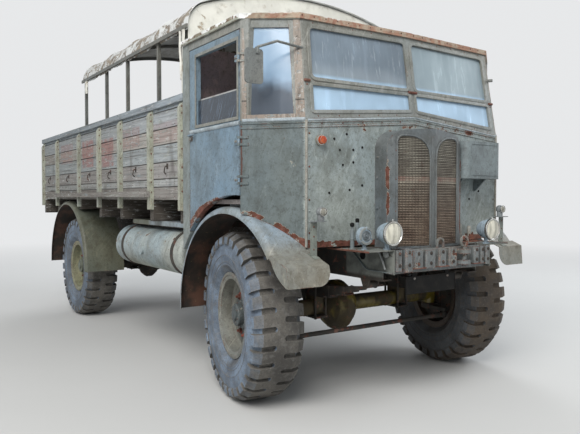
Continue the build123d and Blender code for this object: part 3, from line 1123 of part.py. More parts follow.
with BuildPart() as steering_column:
    cyl_z(F + 430, STEER_Y, 40, FLOOR_Z, FLOOR_Z + 26)
    rod((F + 426, STEER_Y, FLOOR_Z + 16), (F + 209, STEER_Y, 1920), 24)
    wheel_plane = Plane(origin=(F + 209, STEER_Y, 1920), z_dir=(-0.377, 0, 0.926))
    with BuildSketch(wheel_plane) as ring:
        Circle(WHEEL_RING_R)
        Circle(WHEEL_RING_R - 24, mode=Mode.SUBTRACT)
    extrude(ring.sketch, amount=24)
    with BuildSketch(wheel_plane) as spokes:
        with PolarLocations(0, 4):
            Rectangle(2 * WHEEL_RING_R - 24, 20)
    extrude(spokes.sketch, amount=12)
    with BuildSketch(wheel_plane.offset(-6)) as boss:
        Circle(48)
    extrude(boss.sketch, amount=36)
with BuildPart() as levers:
    for x, y, top in ((300, -395, 1840), (240, -440, 1760)):
        cyl_z(F + x, y, 22, FLOOR_Z, FLOOR_Z + 20)
        rod((F + x, y, FLOOR_Z + 10), (F + x - 60, y, top), 10)
        with Locations((F + x - 60, y, top)):
            Sphere(24)
    for y in (-600, -790, -860):
        cyl_z(F + 520, y, 14, FLOOR_Z, FLOOR_Z + 12)
        rod((F + 519, y, FLOOR_Z + 8), (F + 470, y, FLOOR_Z + 66), 9)
        block(F + 455, F + 485, y - 30, y + 30, FLOOR_Z + 64, FLOOR_Z + 76)

# Load body: runners on the rails, cross-bearers, grooved deck, boarded sides and stakes
BEARERS = (
    # x from the front axle, half length, low z outside the rails
    (-660, BOARD_OUT_Y, RUNNER_TOP_Z),
    (-1284, BOARD_OUT_Y, RUNNER_TOP_Z),
    (-2042, BOARD_OUT_Y, RUNNER_TOP_Z),
    (-2687, BOARD_OUT_Y, RUNNER_TOP_Z),
    (-3426, BOARD_OUT_Y, 1262),
    (-3850, 780, RUNNER_TOP_Z),
    (-4390, BOARD_OUT_Y, RUNNER_TOP_Z),
    (-5090, BOARD_OUT_Y, RUNNER_TOP_Z),
)
BEARER_HALF_L = 38
TAIL_GAP = 34
tail_x = BODY_REAR_X + TAIL_GAP
tail_bearer_x = F + BEARERS[-1][0] - BEARER_HALF_L
with BuildPart() as body_bearers:
    for side in (1, -1):
        block(BODY_REAR_X + 60, BODY_FRONT_X, side * RAIL_Y, side * (RAIL_Y - RAIL_FLANGE), FRAME_TOP_Z,
              RUNNER_TOP_Z - SEAT_FIT)
    for x, reach, low_z in BEARERS:
        block(F + x - BEARER_HALF_L, F + x + BEARER_HALF_L, -reach, reach, RUNNER_TOP_Z, BEARER_Z)
        if low_z > RUNNER_TOP_Z:
            for side in (1, -1):
                prism_x(flip([(700, RUNNER_TOP_Z - 1), (700, RUNNER_TOP_Z), (780, low_z), (reach + 1, low_z),
                              (reach + 1, RUNNER_TOP_Z - 1)], side, 0),
                        F + x - BEARER_HALF_L - 1, F + x + BEARER_HALF_L + 1, mode=Mode.SUBTRACT)
    prism_y([(tail_x - 28, 1250), (tail_bearer_x, 1250), (tail_bearer_x, BEARER_Z), (tail_x, BEARER_Z),
             (tail_x, DECK_Z - 8), (tail_x - 28, DECK_Z - 8)], -1140, 1140)
PLANK_COUNT = 9
DECK_HALF_W = BOARD_OUT_Y - BOARD_T - 4
with BuildPart() as load_deck:
    block(tail_x, BODY_FRONT_X - BOARD_T, -DECK_HALF_W, DECK_HALF_W, BEARER_Z, DECK_Z)
    for plank in range(1, PLANK_COUNT):
        y = -DECK_HALF_W + plank * 2 * DECK_HALF_W / PLANK_COUNT
        block(tail_x - 1, BODY_FRONT_X, y - 2, y + 2, DECK_Z - 8, DECK_Z + 1, mode=Mode.SUBTRACT)
BOARDS = (
    # low z, high z
    (1374, 1474),
    (1478, 1538),
    (1542, 1673),
    (1677, 1817),
    (1821, 1944),
    (1948, 2086),
    (2090, SIDE_TOP_Z),
)
STAKES = (
    # x from the front axle, width
    (-5135, 62),
    (-4390, 84),
    (-3426, 72),
    (-2687, 84),
    (-2042, 84),
    (-1284, 84),
    (-660, 70),
)
STAKE_T = 16
STAKE_FOOT_Z = 1290
STAKE_LIP = 14
STAKE_SLANT = 46
CAP_LOW_Z = 2122
CAP_OUT = 22
with BuildPart() as body_sides:
    for side in (1, -1):
        for z0, z1 in BOARDS:
            block(BODY_REAR_X, BODY_FRONT_X, side * (BOARD_OUT_Y - BOARD_T), side * BOARD_OUT_Y, z0, z1)
        block(BODY_REAR_X, BODY_FRONT_X, side * (BOARD_OUT_Y - 1), side * (BOARD_OUT_Y + CAP_OUT),
              CAP_LOW_Z, SIDE_TOP_Z)
with BuildPart() as body_stakes:
    top_z = CAP_LOW_Z - SEAT_FIT
    out_y = BOARD_OUT_Y + 2 * STAKE_T
    for side in (1, -1):
        for x, w in STAKES:
            x0 = F + x - w / 2
            x1 = F + x + w / 2
            y1 = BOARD_OUT_Y + STAKE_T
            prism_z(flip([(x0, BOARD_OUT_Y), (x1, BOARD_OUT_Y), (x1, y1), (x1 - STAKE_LIP, y1),
                          (x1 - STAKE_LIP, out_y),
                          (x0 + STAKE_LIP, out_y), (x0 + STAKE_LIP, y1), (x0, y1)], side, 1), STAKE_FOOT_Z,
                          top_z)
        prism_x(flip([(BOARD_OUT_Y, top_z), (out_y + 1, top_z - STAKE_SLANT), (out_y + 1, top_z + 1),
                      (BOARD_OUT_Y, top_z + 1)],
                     side, 0), BODY_REAR_X - 99, BODY_FRONT_X + 99, mode=Mode.SUBTRACT)
with BuildPart() as body_front:
    for z0, z1 in BOARDS:
        block(BODY_FRONT_X - BOARD_T + 1, BODY_FRONT_X, -BOARD_OUT_Y + BOARD_T + 1,
              BOARD_OUT_Y - BOARD_T - 1, max(z0, DECK_Z + 1), z1)
    for y in (-700, 0, 700):
        block(BODY_FRONT_X - BOARD_T - 7, BODY_FRONT_X - BOARD_T + 1, y - 40, y + 40, DECK_Z + 1, SIDE_TOP_Z)
with BuildPart() as ledge_boards:
    for side in (1, -1):
        y0 = BOARD_OUT_Y + 2 * STAKE_T
        block(F - 4340, F - 1250, side * y0, side * (y0 + 50), 1396, 1444)

# Tilt hoops and canvas over the front part of the body: crown arc with tighter shoulder arcs
HOOPS = (-3301, -2585, -1969, -1218, -690)
HOOP_HALF_L = 16
HOOP_T = 28
HOOP_FOOT_Z = 1960
TILT_HALF_W = BOARD_OUT_Y - BOARD_T
TILT_CROWN_Z = 3070
TILT_CROWN_R = 2900
TILT_SHOULDER_R = 210
CANVAS_T = 8
CANVAS_LOW_Z = 2650
CANVAS_REAR_X = F - 3360
CANVAS_FRONT_X = F - 600


def tilt_path(off, foot_z):
    cy = TILT_HALF_W - TILT_SHOULDER_R
    rise = sqrt((TILT_CROWN_R - TILT_SHOULDER_R) ** 2 - cy ** 2)
    crown_z = TILT_CROWN_Z - TILT_CROWN_R
    shoulder_z = crown_z + rise
    lean = atan2(cy, rise)
    r = TILT_SHOULDER_R + off
    join = (cy + r * sin(lean), shoulder_z + r * cos(lean))
    half = (radians(90) + lean) / 2
    mid = (cy + r * sin(half), shoulder_z + r * cos(half))
    h = TILT_HALF_W + off
    return [(h, foot_z), (h, shoulder_z), (*mid, *join), (0, TILT_CROWN_Z + off, -join[0], join[1]),
            (-mid[0], mid[1], -h, shoulder_z), (-h, foot_z)]


with BuildPart() as tilt_hoops:
    for x in HOOPS:
        prism_x(tilt_path(0, HOOP_FOOT_Z) + backwards(tilt_path(-HOOP_T, HOOP_FOOT_Z)), F + x - HOOP_HALF_L,
                F + x + HOOP_HALF_L)
with BuildPart() as tilt_canvas:
    prism_x(tilt_path(SEAT_FIT + CANVAS_T, CANVAS_LOW_Z) + backwards(tilt_path(SEAT_FIT, CANVAS_LOW_Z)),
            CANVAS_REAR_X, CANVAS_FRONT_X)
BATTEN_T = 14
BATTEN_Z = (2668, 2698)
with BuildPart() as eave_battens:
    for side in (1, -1):
        y0 = TILT_HALF_W + CANVAS_T + 2 * SEAT_FIT
        block(CANVAS_REAR_X, CANVAS_FRONT_X, side * y0, side * (y0 + BATTEN_T), *BATTEN_Z)
with BuildPart() as tilt_front:
    prism_x(tilt_path(0, SIDE_TOP_Z + SEAT_FIT), BODY_FRONT_X - 26, BODY_FRONT_X - 10)

# Fuel tank with rounded ends, straps and cap on the right
TANK_Y = -990
TANK_Z = 940
TANK_R = 186
TANK_FRONT_X = F - 742
TANK_REAR_X = F - 2249
TANK_DOME = 22
STRAP_T = 5
STRAP_HALF_L = 24
with BuildPart() as fuel_tank:
    spin_x([(TANK_REAR_X, 0), (TANK_REAR_X, TANK_R - 50), (TANK_REAR_X + TANK_DOME * 0.3, TANK_R - 12,
                                                           TANK_REAR_X + TANK_DOME, TANK_R),
            (TANK_FRONT_X - TANK_DOME, TANK_R), (TANK_FRONT_X - TANK_DOME * 0.3, TANK_R - 12, TANK_FRONT_X,
                                                 TANK_R - 50),
            (TANK_FRONT_X, 0)], TANK_Y, TANK_Z)
    cyl_y(F - 1537, TANK_Z - 5, 46, TANK_Y - TANK_R + 26, TANK_Y - TANK_R - 18)
with BuildPart() as tank_brackets:
    for x in (F - 2041, F - 888):
        block(x - STRAP_HALF_L, x + STRAP_HALF_L, TANK_Y + 180, -RAIL_Y, 900, 1040)
        spin_x([(x - STRAP_HALF_L, TANK_R), (x - STRAP_HALF_L, TANK_R + SEAT_FIT + STRAP_T),
                (x + STRAP_HALF_L, TANK_R + SEAT_FIT + STRAP_T),
                (x + STRAP_HALF_L, TANK_R)], TANK_Y, TANK_Z)
        rod((x - 40, TANK_Y, TANK_Z), (x + 40, TANK_Y, TANK_Z), TANK_R + SEAT_FIT, mode=Mode.SUBTRACT)

# Lockers hung under the cross-bearers
with BuildPart() as lockers:
    block(F - 2200, F - 1150, 700, 1150, 780, RUNNER_TOP_Z)
    block(F - 1950, F - 700, -1100, -500, 1150, RUNNER_TOP_Z)

# Rear towing jaw, open for a pin, and tail lamps
HITCH_X = RAIL_REAR_X - 70
HITCH_BORE_R = 20
HITCH_Z = 960
with BuildPart() as rear_hitch:
    block(RAIL_REAR_X - 12, RAIL_REAR_X, -RAIL_Y, RAIL_Y, FRAME_LOW_Z, FRAME_TOP_Z)
    for z0, z1 in ((HITCH_Z - 60, HITCH_Z - 40), (HITCH_Z + 40, HITCH_Z + 60)):
        prism_z([(RAIL_REAR_X - 6, -70), (HITCH_X, -44), (HITCH_X - 44, 0, HITCH_X, 44),
                 (RAIL_REAR_X - 6, 70)], z0, z1)
    cyl_z(HITCH_X, 0, HITCH_BORE_R, HITCH_Z - 61, HITCH_Z + 61, mode=Mode.SUBTRACT)
with BuildPart() as tail_lamps:
    for side in (1, -1):
        block(tail_x - 40, tail_x - 28, side * 900, side * 1060, 1255, 1345)
        for y in (940, 1020):
            rod((tail_x - 40, side * y, 1300), (tail_x - 62, side * y, 1300), 30)

# Doors: pressed panel with a window, curved over the mudguard, hinged at the front edge
DOOR_X0 = CAB_REAR_X + REAR_POST_L + 8
DOOR_X1 = POST_X - 2 * MOVE_GAP
DOOR_TOP_Z = HEADER_Z - MOVE_GAP
DOOR_LOW_FRONT_Z = 1404
DOOR_LOW_REAR_Z = 1142
WINDOW_X0 = F - 376
WINDOW_X1 = F + 226
WINDOW_LOW_Z = 1905
WINDOW_TOP_Z = 2400
PANE_TOP_Z = 2084
LIP_OUT = 6
DOOR_ARC = (F - 110, 1363)
doors = {}
door_panes = {}
for name, side in (("left", 1), ("right", -1)):
    outer = side * CAB_HALF_W
    with BuildPart() as door:
        prism_y([(DOOR_X1, DOOR_LOW_FRONT_Z), (*DOOR_ARC, DOOR_X0, DOOR_LOW_REAR_Z), (DOOR_X0, DOOR_TOP_Z),
                 (DOOR_X1, DOOR_TOP_Z)], outer, outer - side * DOOR_T)
        prism_y([(DOOR_X1, DOOR_LOW_FRONT_Z), (*DOOR_ARC, DOOR_X0, DOOR_LOW_REAR_Z),
                 (DOOR_X0, DOOR_LOW_REAR_Z + 26),
                 (DOOR_ARC[0] - 6, DOOR_ARC[1] + 17, DOOR_X1, DOOR_LOW_FRONT_Z + 16)], outer - side,
                 outer + side * LIP_OUT)
        prism_y([(WINDOW_X0, WINDOW_LOW_Z), (WINDOW_X1, WINDOW_LOW_Z), (WINDOW_X1, WINDOW_TOP_Z),
                 (WINDOW_X0, WINDOW_TOP_Z)],
                outer + side * 20, outer - side * DOOR_T * 2, mode=Mode.SUBTRACT)
        rod((DOOR_X0 + 20, outer - side, 1843), (DOOR_X0 + 20, outer + side * 22, 1843), 9)
        rod((DOOR_X0 + 14, outer + side * 22, 1843), (DOOR_X0 + 110, outer + side * 22, 1843), 7)
        for z in HINGE_ROWS:
            block(HINGE_X - 62, HINGE_X - 11, outer, outer + side * 5, z - 22, z + 22)
            block(HINGE_X - 12, HINGE_X, outer, outer + side * 5, z - 15, z + 15)
            cyl_z(HINGE_X, side * HINGE_Y, HINGE_R, z - 15, z + 15)
        for z in HINGE_ROWS:
            cyl_z(HINGE_X, side * HINGE_Y, HINGE_PIN_R + PIN_FIT, z - 16, z + 16, mode=Mode.SUBTRACT)
    with BuildPart() as pane:
        block(WINDOW_X0 + SEAT_FIT, WINDOW_X1 - SEAT_FIT, outer - side * 16, outer - side * 21,
              WINDOW_LOW_Z + SEAT_FIT, PANE_TOP_Z)
    doors[name] = door
    door_panes[name] = pane

# Tailboard of planks on strap hinges at its lower edge
TAIL_HALF_W = BOARD_OUT_Y - BOARD_T - MOVE_GAP
TAIL_T = 28
TAIL_LOW_Z = 1420
TAIL_HINGE_X = BODY_REAR_X - 4
TAIL_HINGE_Z = DECK_Z - 2
TAIL_STRAPS = (-900, -300, 300, 900)
with BuildPart() as tailboard:
    for z0, z1 in BOARDS:
        block(BODY_REAR_X, BODY_REAR_X + TAIL_T, -TAIL_HALF_W, TAIL_HALF_W, max(z0, TAIL_LOW_Z), z1)
    for y in TAIL_STRAPS:
        block(BODY_REAR_X - 8, BODY_REAR_X, y - 35, y + 35, TAIL_LOW_Z, SIDE_TOP_Z - 10)
        block(BODY_REAR_X - 8, BODY_REAR_X, y - 20, y + 20, TAIL_HINGE_Z, TAIL_LOW_Z)
        cyl_y(TAIL_HINGE_X, TAIL_HINGE_Z, HINGE_R, y - 20, y + 20)
    for y in TAIL_STRAPS:
        cyl_y(TAIL_HINGE_X, TAIL_HINGE_Z, HINGE_PIN_R + PIN_FIT, y - 21, y + 21, mode=Mode.SUBTRACT)
with BuildPart() as tail_hinges:
    for y in TAIL_STRAPS:
        for end in (-1, 1):
            y0 = y + end * (20 + SEAT_FIT)
            y1 = y + end * 38
            cyl_y(TAIL_HINGE_X, TAIL_HINGE_Z, HINGE_R, y0, y1)
            prism_y([(TAIL_HINGE_X - 4, TAIL_HINGE_Z), (TAIL_HINGE_X + 4, TAIL_HINGE_Z),
                     (tail_x - 28, DECK_Z - 12), (tail_x - 28, 1345),
                     (tail_x - 36, 1345)], y0, y1)
        cyl_y(TAIL_HINGE_X, TAIL_HINGE_Z, HINGE_PIN_R, y - 38, y + 38)

# Each file is one named piece; several solids that belong together share a file
NODES = {
    "frame": (frame, tank_brackets, rear_hitch),
    "springs": (springs,),
    "front_axle": (front_axle,),
    "rear_axle": (rear_axle,),
    "engine": (engine, transfer_box, radiator),
    "propshafts": (propshafts,),
    "mudguards": (front_mudguards, rear_mudguards),
    "bumper": (bumper,),
    "number_plate": (number_plate,),
    "cab_floor": (cab_floor, engine_cover),
    "cab_front": (cab_front, cab_corners),
    "cab_rear": (cab_rear,),
    "cab_frame": (cab_frame, door_posts),
    "cab_glass": (windscreen_glass, quarter_glass),
    "cab_roof": (cab_roof,),
    "cowl": (cowl,),
    "grille": (grille,),
    "lamp_bodies": (lamp_bodies, tail_lamps),
    "lamp_lenses": (lamp_lenses, direction_lamps),
    "front_box": (front_box,),
    "mirror_arm": (mirror_arm,),
    "mirror_glass": (mirror_glass,),
    "seats": (seats,),
    "seat_cushions": (seat_cushions,),
    "controls": (dash, steering_column, levers),
    "body_bearers": (body_bearers, tail_hinges),
    "load_deck": (load_deck,),
    "body_boards": (body_sides, body_front, ledge_boards),
    "body_stakes": (body_stakes,),
    "tilt_hoops": (tilt_hoops, eave_battens),
    "tilt_canvas": (tilt_canvas,),
    "tilt_front": (tilt_front,),
    "fuel_tank": (fuel_tank,),
    "lockers": (lockers,),
    "track_rod": (track_rod,),
    "tailboard": (tailboard,),
    "knuckle_left": (knuckles["left"],),
    "knuckle_right": (knuckles["right"],),
    "door_left": (doors["left"],),
    "door_right": (doors["right"],),
    "door_glass_left": (door_panes["left"],),
    "door_glass_right": (door_panes["right"],),
}
for wheel_name in tyres:
    NODES["tyre_" + wheel_name] = (tyres[wheel_name],)
    NODES["rim_" + wheel_name] = (rims[wheel_name],)
for node_name, pieces in NODES.items():
    with BuildPart() as node:
        for piece in pieces:
            add(piece.part)
    node.part.label = node_name
    export_step(node.part, "parts/" + node_name + ".step")
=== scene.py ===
import math
import random

import bmesh
import bpy
from mathutils import Matrix, Vector, noise


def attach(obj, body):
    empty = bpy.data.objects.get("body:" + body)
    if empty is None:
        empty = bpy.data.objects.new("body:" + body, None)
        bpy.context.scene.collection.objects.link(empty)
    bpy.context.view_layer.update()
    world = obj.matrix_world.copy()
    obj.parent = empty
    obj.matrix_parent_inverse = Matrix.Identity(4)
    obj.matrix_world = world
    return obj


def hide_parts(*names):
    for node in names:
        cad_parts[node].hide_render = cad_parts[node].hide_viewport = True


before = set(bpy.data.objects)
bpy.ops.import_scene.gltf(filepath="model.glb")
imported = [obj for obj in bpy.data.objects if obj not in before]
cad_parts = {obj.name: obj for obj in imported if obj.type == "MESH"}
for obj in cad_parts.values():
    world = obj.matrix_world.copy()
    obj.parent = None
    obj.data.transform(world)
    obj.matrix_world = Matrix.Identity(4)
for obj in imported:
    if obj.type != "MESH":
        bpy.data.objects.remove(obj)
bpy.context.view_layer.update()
rng = random.Random(11)

# The truck faces +X; F is the front axle's x, from which lengths along the truck are measured
F = 2.140
REAR = F - 3.848
AXLE_Z = 0.575
ARCH_X = F + 0.02
ARCH_Z = 0.585
AHEAD = (1, 0, 0)
UP = (0, 0, 1)
TRUCK = "truck"


def new_object(name, data):
    thing = bpy.data.objects.new(name, data)
    bpy.context.scene.collection.objects.link(thing)
    return thing


# Camera at the photograph's viewpoint
YAW = math.radians(34.28)
PITCH = -0.0308
cam_data = bpy.data.cameras.new("Camera")
cam_data.lens = 38.31
cam_data.sensor_width = 36
cam = new_object("Camera", cam_data)
look = Vector((-math.cos(YAW) * math.cos(PITCH), math.sin(YAW) * math.cos(PITCH), math.sin(PITCH)))
cam.location = (5.8383, -3.1598, 1.3872)
cam.rotation_euler = look.to_track_quat("-Z", "Y").to_euler()
bpy.context.scene.camera = cam
bpy.context.scene.view_settings.view_transform = "Standard"


class Finish:
    """A procedural material on one Principled shader, in object coordinates."""

    def __init__(self, name, rough=0.6, metal=0.0, seed=0):
        self.mat = bpy.data.materials.new(name)
        self.mat.use_nodes = True
        self.tree = self.mat.node_tree
        self.tree.nodes.clear()
        self.out = self.tree.nodes.new("ShaderNodeOutputMaterial")
        self.bsdf = self.tree.nodes.new("ShaderNodeBsdfPrincipled")
        self.tree.links.new(self.bsdf.outputs[0], self.out.inputs[0])
        self.at = self.node("ShaderNodeTexCoord").outputs["Object"]
        split = self.node("ShaderNodeSeparateXYZ")
        self.tree.links.new(self.at, split.inputs[0])
        self.x, self.y, self.z = split.outputs
        self.seed = seed
        self.bsdf.inputs["Roughness"].default_value = rough
        self.bsdf.inputs["Metallic"].default_value = metal

    def node(self, kind, **values):
        n = self.tree.nodes.new(kind)
        for key, value in values.items():
            setattr(n, key, value)
        return n

    def put(self, socket, value):
        if isinstance(value, (int, float)):
            socket.default_value = value
        elif isinstance(value, (tuple, list)):
            socket.default_value = (*value[:3], 1.0) if len(socket.default_value) == 4 else value[:3]
        else:
            self.tree.links.new(value, socket)

    def math(self, op, a, b=0.0, clamp=False):
        n = self.node("ShaderNodeMath", operation=op, use_clamp=clamp)
        self.put(n.inputs[0], a)
        self.put(n.inputs[1], b)
        return n.outputs[0]

    def mul(self, a, b):
        return self.math("MULTIPLY", a, b)

    def add(self, a, b, clamp=False):
        return self.math("ADD", a, b, clamp)

    def sub(self, a, b):
        return self.math("SUBTRACT", a, b)

    def flip(self, a):
        return self.sub(1.0, a)

    def noise(self, scale, stretch=(1, 1, 1), detail=4.0, rough=0.55, warp=0.0):
        place = self.node("ShaderNodeMapping")
        place.inputs["Scale"].default_value = [scale * s for s in stretch]
        self.seed += 1
        place.inputs["Location"].default_value = (self.seed * 3.7, self.seed * 1.3, self.seed * 5.1)
        self.put(place.inputs["Vector"], self.at)
        n = self.node("ShaderNodeTexNoise")
        n.inputs["Scale"].default_value = 1.0
        n.inputs["Detail"].default_value = detail
        n.inputs["Roughness"].default_value = rough
        n.inputs["Distortion"].default_value = warp
        self.put(n.inputs["Vector"], place.outputs[0])
        return n.outputs["Fac"]

    def voronoi(self, scale, feature="F1"):
        place = self.node("ShaderNodeMapping")
        place.inputs["Scale"].default_value = [scale] * 3
        self.put(place.inputs["Vector"], self.at)
        n = self.node("ShaderNodeTexVoronoi", feature=feature)
        n.inputs["Scale"].default_value = 1.0
        self.put(n.inputs["Vector"], place.outputs[0])
        return n.outputs["Distance"]

    def step(self, value, low, high):
        n = self.node("ShaderNodeMapRange", interpolation_type="SMOOTHSTEP")
        self.put(n.inputs["Value"], value)
        n.inputs["From Min"].default_value = low
        n.inputs["From Max"].default_value = high
        return n.outputs[0]

    def mix(self, fac, a, b, kind="MIX"):
        n = self.node("ShaderNodeMix", data_type="RGBA", blend_type=kind)
        self.put(n.inputs["Factor"], fac)
        self.put(n.inputs[6], a)
        self.put(n.inputs[7], b)
        return n.outputs[2]

    def cloud(self, low, high, scale, **look):
        """Noise cut to a soft mask between two levels."""
        return self.step(self.noise(scale, **look), low, high)

    def wash(self, tone, mask, share, colour):
        """The tone with a share of another colour where the mask is."""
        return self.mix(self.mul(mask, share), tone, colour)

    def blend(self, fac, a, b):
        n = self.node("ShaderNodeMix", data_type="FLOAT")
        self.put(n.inputs["Factor"], fac)
        self.put(n.inputs[2], a)
        self.put(n.inputs[3], b)
        return n.outputs[0]

    def ramp(self, fac, stops):
        """Bands of one colour each; every stop is a place and the colour from there on."""
        n = self.node("ShaderNodeValToRGB")
        self.put(n.inputs[0], fac)
        band = n.color_ramp
        band.interpolation = "CONSTANT"
        while len(band.elements) < len(stops):
            band.elements.new(0.5)
        for element, (place, colour) in zip(band.elements, stops):
            element.position = place
            element.color = (*colour, 1.0)
        return n.outputs[0]

    def worn_edge(self, radius=0.006):
        bevel = self.node("ShaderNodeBevel", samples=4)
        bevel.inputs["Radius"].default_value = radius
        geometry = self.node("ShaderNodeNewGeometry")
        dot = self.node("ShaderNodeVectorMath", operation="DOT_PRODUCT")
        self.tree.links.new(bevel.outputs[0], dot.inputs[0])
        self.tree.links.new(geometry.outputs["Normal"], dot.inputs[1])
        return self.step(self.flip(dot.outputs["Value"]), 0.01, 0.14)

    def zone(self, soft, xs=None, ys=None, zs=None):
        """A soft box mask; ys is for the distance from the centre plane."""
        total = None
        for value, span in ((self.x, xs), (self.math("ABSOLUTE", self.y), ys), (self.z, zs)):
            if span is None:
                continue
            low = self.step(value, span[0] - soft, span[0] + soft)
            high = self.flip(self.step(value, span[1] - soft, span[1] + soft))
            both = self.mul(low, high)
            total = both if total is None else self.mul(total, both)
        return total

    def ring(self, cx, cz, r0, r1, soft):
        """A soft mask between two radii about an axis along Y."""
        dx = self.math("POWER", self.sub(self.x, cx), 2.0)
        dz = self.math("POWER", self.sub(self.z, cz), 2.0)
        r = self.math("SQRT", self.add(dx, dz))
        far = self.flip(self.step(r, r1 - soft, r1 + soft))
        return self.mul(self.step(r, r0 - soft, r0 + soft), far)

    def inward(self, front_cx, rear_cx, cz):
        """A mask of the faces that look at the nearer wheel's axle."""
        normal = self.node("ShaderNodeSeparateXYZ")
        self.tree.links.new(self.node("ShaderNodeTexCoord").outputs["Normal"], normal.inputs[0])
        ahead = self.step(self.x, -0.05, 0.05)
        cx = self.add(rear_cx, self.mul(ahead, front_cx - rear_cx))
        along = self.mul(self.sub(self.x, cx), normal.outputs[0])
        up = self.mul(self.sub(self.z, cz), normal.outputs[2])
        return self.flip(self.step(self.add(along, up), -0.35, -0.15))

    def mask(self, spec):
        """The soft mask that a table entry describes, round or straight."""
        return self.ring(**spec) if "cx" in spec else self.zone(**spec)

    def slanted(self, along, cross):
        """Noise drawn out along a slant, as wiping and branches scratch a panel."""
        flat = self.add(self.x, self.y)
        up = self.add(self.z, self.mul(flat, 0.55))
        over = self.sub(flat, self.mul(self.z, 0.55))
        place = self.node("ShaderNodeCombineXYZ")
        self.put(place.inputs[0], self.mul(up, along))
        self.put(place.inputs[1], self.mul(over, cross))
        n = self.node("ShaderNodeTexNoise")
        n.inputs["Scale"].default_value = 1.0
        n.inputs["Detail"].default_value = 4.0
        self.put(n.inputs["Vector"], place.outputs[0])
        return n.outputs["Fac"]

    def colour(self, value):
        self.put(self.bsdf.inputs["Base Color"], value)

    def rough(self, value):
        self.put(self.bsdf.inputs["Roughness"], value)

    def bump(self, height, distance=0.002, strength=1.0):
        n = self.node("ShaderNodeBump")
        n.inputs["Strength"].default_value = strength
        n.inputs["Distance"].default_value = distance
        self.put(n.inputs["Height"], height)
        self.put(self.bsdf.inputs["Normal"], n.outputs[0])


RUST_DARK = (0.075, 0.026, 0.013)
RUST_RED = (0.140, 0.048, 0.034)
RUST_PALE = (0.175, 0.086, 0.062)
PRIMER = (0.36, 0.35, 0.29)


def toned(colour, times, plus=0.0):
    return [min(1, c * times + plus) for c in colour]


def rust_colour(f):
    tone = f.mix(f.cloud(0.40, 0.62, 28, detail=5), RUST_DARK, RUST_RED)
    return f.mix(f.cloud(0.52, 0.72, 11, detail=3), tone, RUST_PALE)


def paint(name, light, cool, dark, rust=0.0, zones=(), dents=0.004, seed=0, edge=0.006, shades=(),
          axles=None):
    """Weathered paint: two tints, rain streaks, chips down to rust, more of it inside the given zones.

    Each of shades is a zone and the colour that the coat is multiplied by there. Dark mud with
    painted shade covers the faces that look at the axles, where they are given."""
    f = Finish(name, seed=seed)
    light, cool = toned(light, 1.10), toned(cool, 1.10)
    tone = f.mix(f.cloud(0.35, 0.65, 1.6, detail=3), light, cool)
    tone = f.wash(tone, f.cloud(0.43, 0.70, 5.5, detail=6, rough=0.62), 0.58, dark)
    tone = f.wash(tone, f.cloud(0.50, 0.66, 34, detail=6, rough=0.75), 0.46, dark)
    tone = f.wash(tone, f.cloud(0.60, 0.68, 44, detail=5, rough=0.72), 0.30, toned(light, 1.5))
    rain = f.cloud(0.50, 0.76, 1, stretch=(15, 15, 1.3), detail=5, rough=0.6)
    tone = f.wash(tone, rain, 0.34, toned(dark, 0.62))
    scuff = f.cloud(0.57, 0.70, 11, stretch=(1, 1, 0.6), detail=7, rough=0.72, warp=0.4)
    tone = f.wash(tone, scuff, 0.55, toned(light, 1.40, 0.04))
    blot = f.cloud(0.54, 0.66, 26, detail=5, rough=0.7, warp=0.3)
    tone = f.wash(tone, blot, 0.42, toned(dark, 0.75))
    tone = f.wash(tone, f.step(f.slanted(3.0, 42.0), 0.60, 0.70), 0.30, toned(light, 1.55, 0.04))
    tone = f.wash(tone, f.step(f.slanted(2.0, 15.0), 0.56, 0.72), 0.35, dark)
    grit = f.cloud(0.58, 0.70, 60, stretch=(1, 1, 0.35), detail=4, rough=0.7)
    tone = f.wash(tone, grit, 0.38, toned(light, 1.5, 0.03))
    speck = f.noise(95, detail=3, rough=0.7)
    tone = f.wash(tone, f.step(speck, 0.56, 0.70), 0.5, toned(dark, 0.45))
    # Shade zones multiply the coat: most are tints of the paint, but on the angled cab panels and the rear
    # wall's inner face they are painted shade and painted light
    for where, tint in shades:
        tone = f.mix(f.mask(where), tone, tint, kind="MULTIPLY")
    wear = f.worn_edge(edge)
    patch = f.noise(9.5, detail=7, rough=0.68)
    push = f.mul(wear, 0.16)
    for where, amount in zones:
        push = f.add(push, f.mul(f.mask(where), amount))
    level = f.add(f.add(patch, push), rust)
    bare = f.step(level, 0.69, 0.70)
    tone = f.wash(tone, f.step(level, 0.665, 0.685), 0.7, PRIMER)
    tone = f.mix(bare, tone, rust_colour(f))
    pit = f.step(f.voronoi(13), 0.055, 0.03)
    tone = f.wash(tone, pit, 0.85, RUST_DARK)
    if axles:
        # Near-black mud with pale specks on the faces towards the axles, darkened as painted shade inside
        # the guards
        mud_and_shade = f.mix(f.cloud(0.42, 0.66, 8, detail=5), (0.022, 0.017, 0.013), (0.085, 0.042, 0.028))
        mud_and_shade = f.mix(f.cloud(0.62, 0.70, 42, detail=5, rough=0.7), mud_and_shade, (0.20, 0.155, 0.075))
        tone = f.mix(f.inward(*axles), tone, mud_and_shade)
    f.colour(tone)
    f.rough(f.blend(bare, f.blend(f.noise(20), 0.42, 0.68), 0.9))
    dent = f.mul(f.noise(2.6, detail=2), dents * 250)
    height = f.add(dent, f.mul(speck, 0.15))
    height = f.sub(height, f.mul(bare, f.blend(f.noise(120), 0.1, 0.5)))
    f.bump(height, 0.0022, 0.8)
    return f.mat


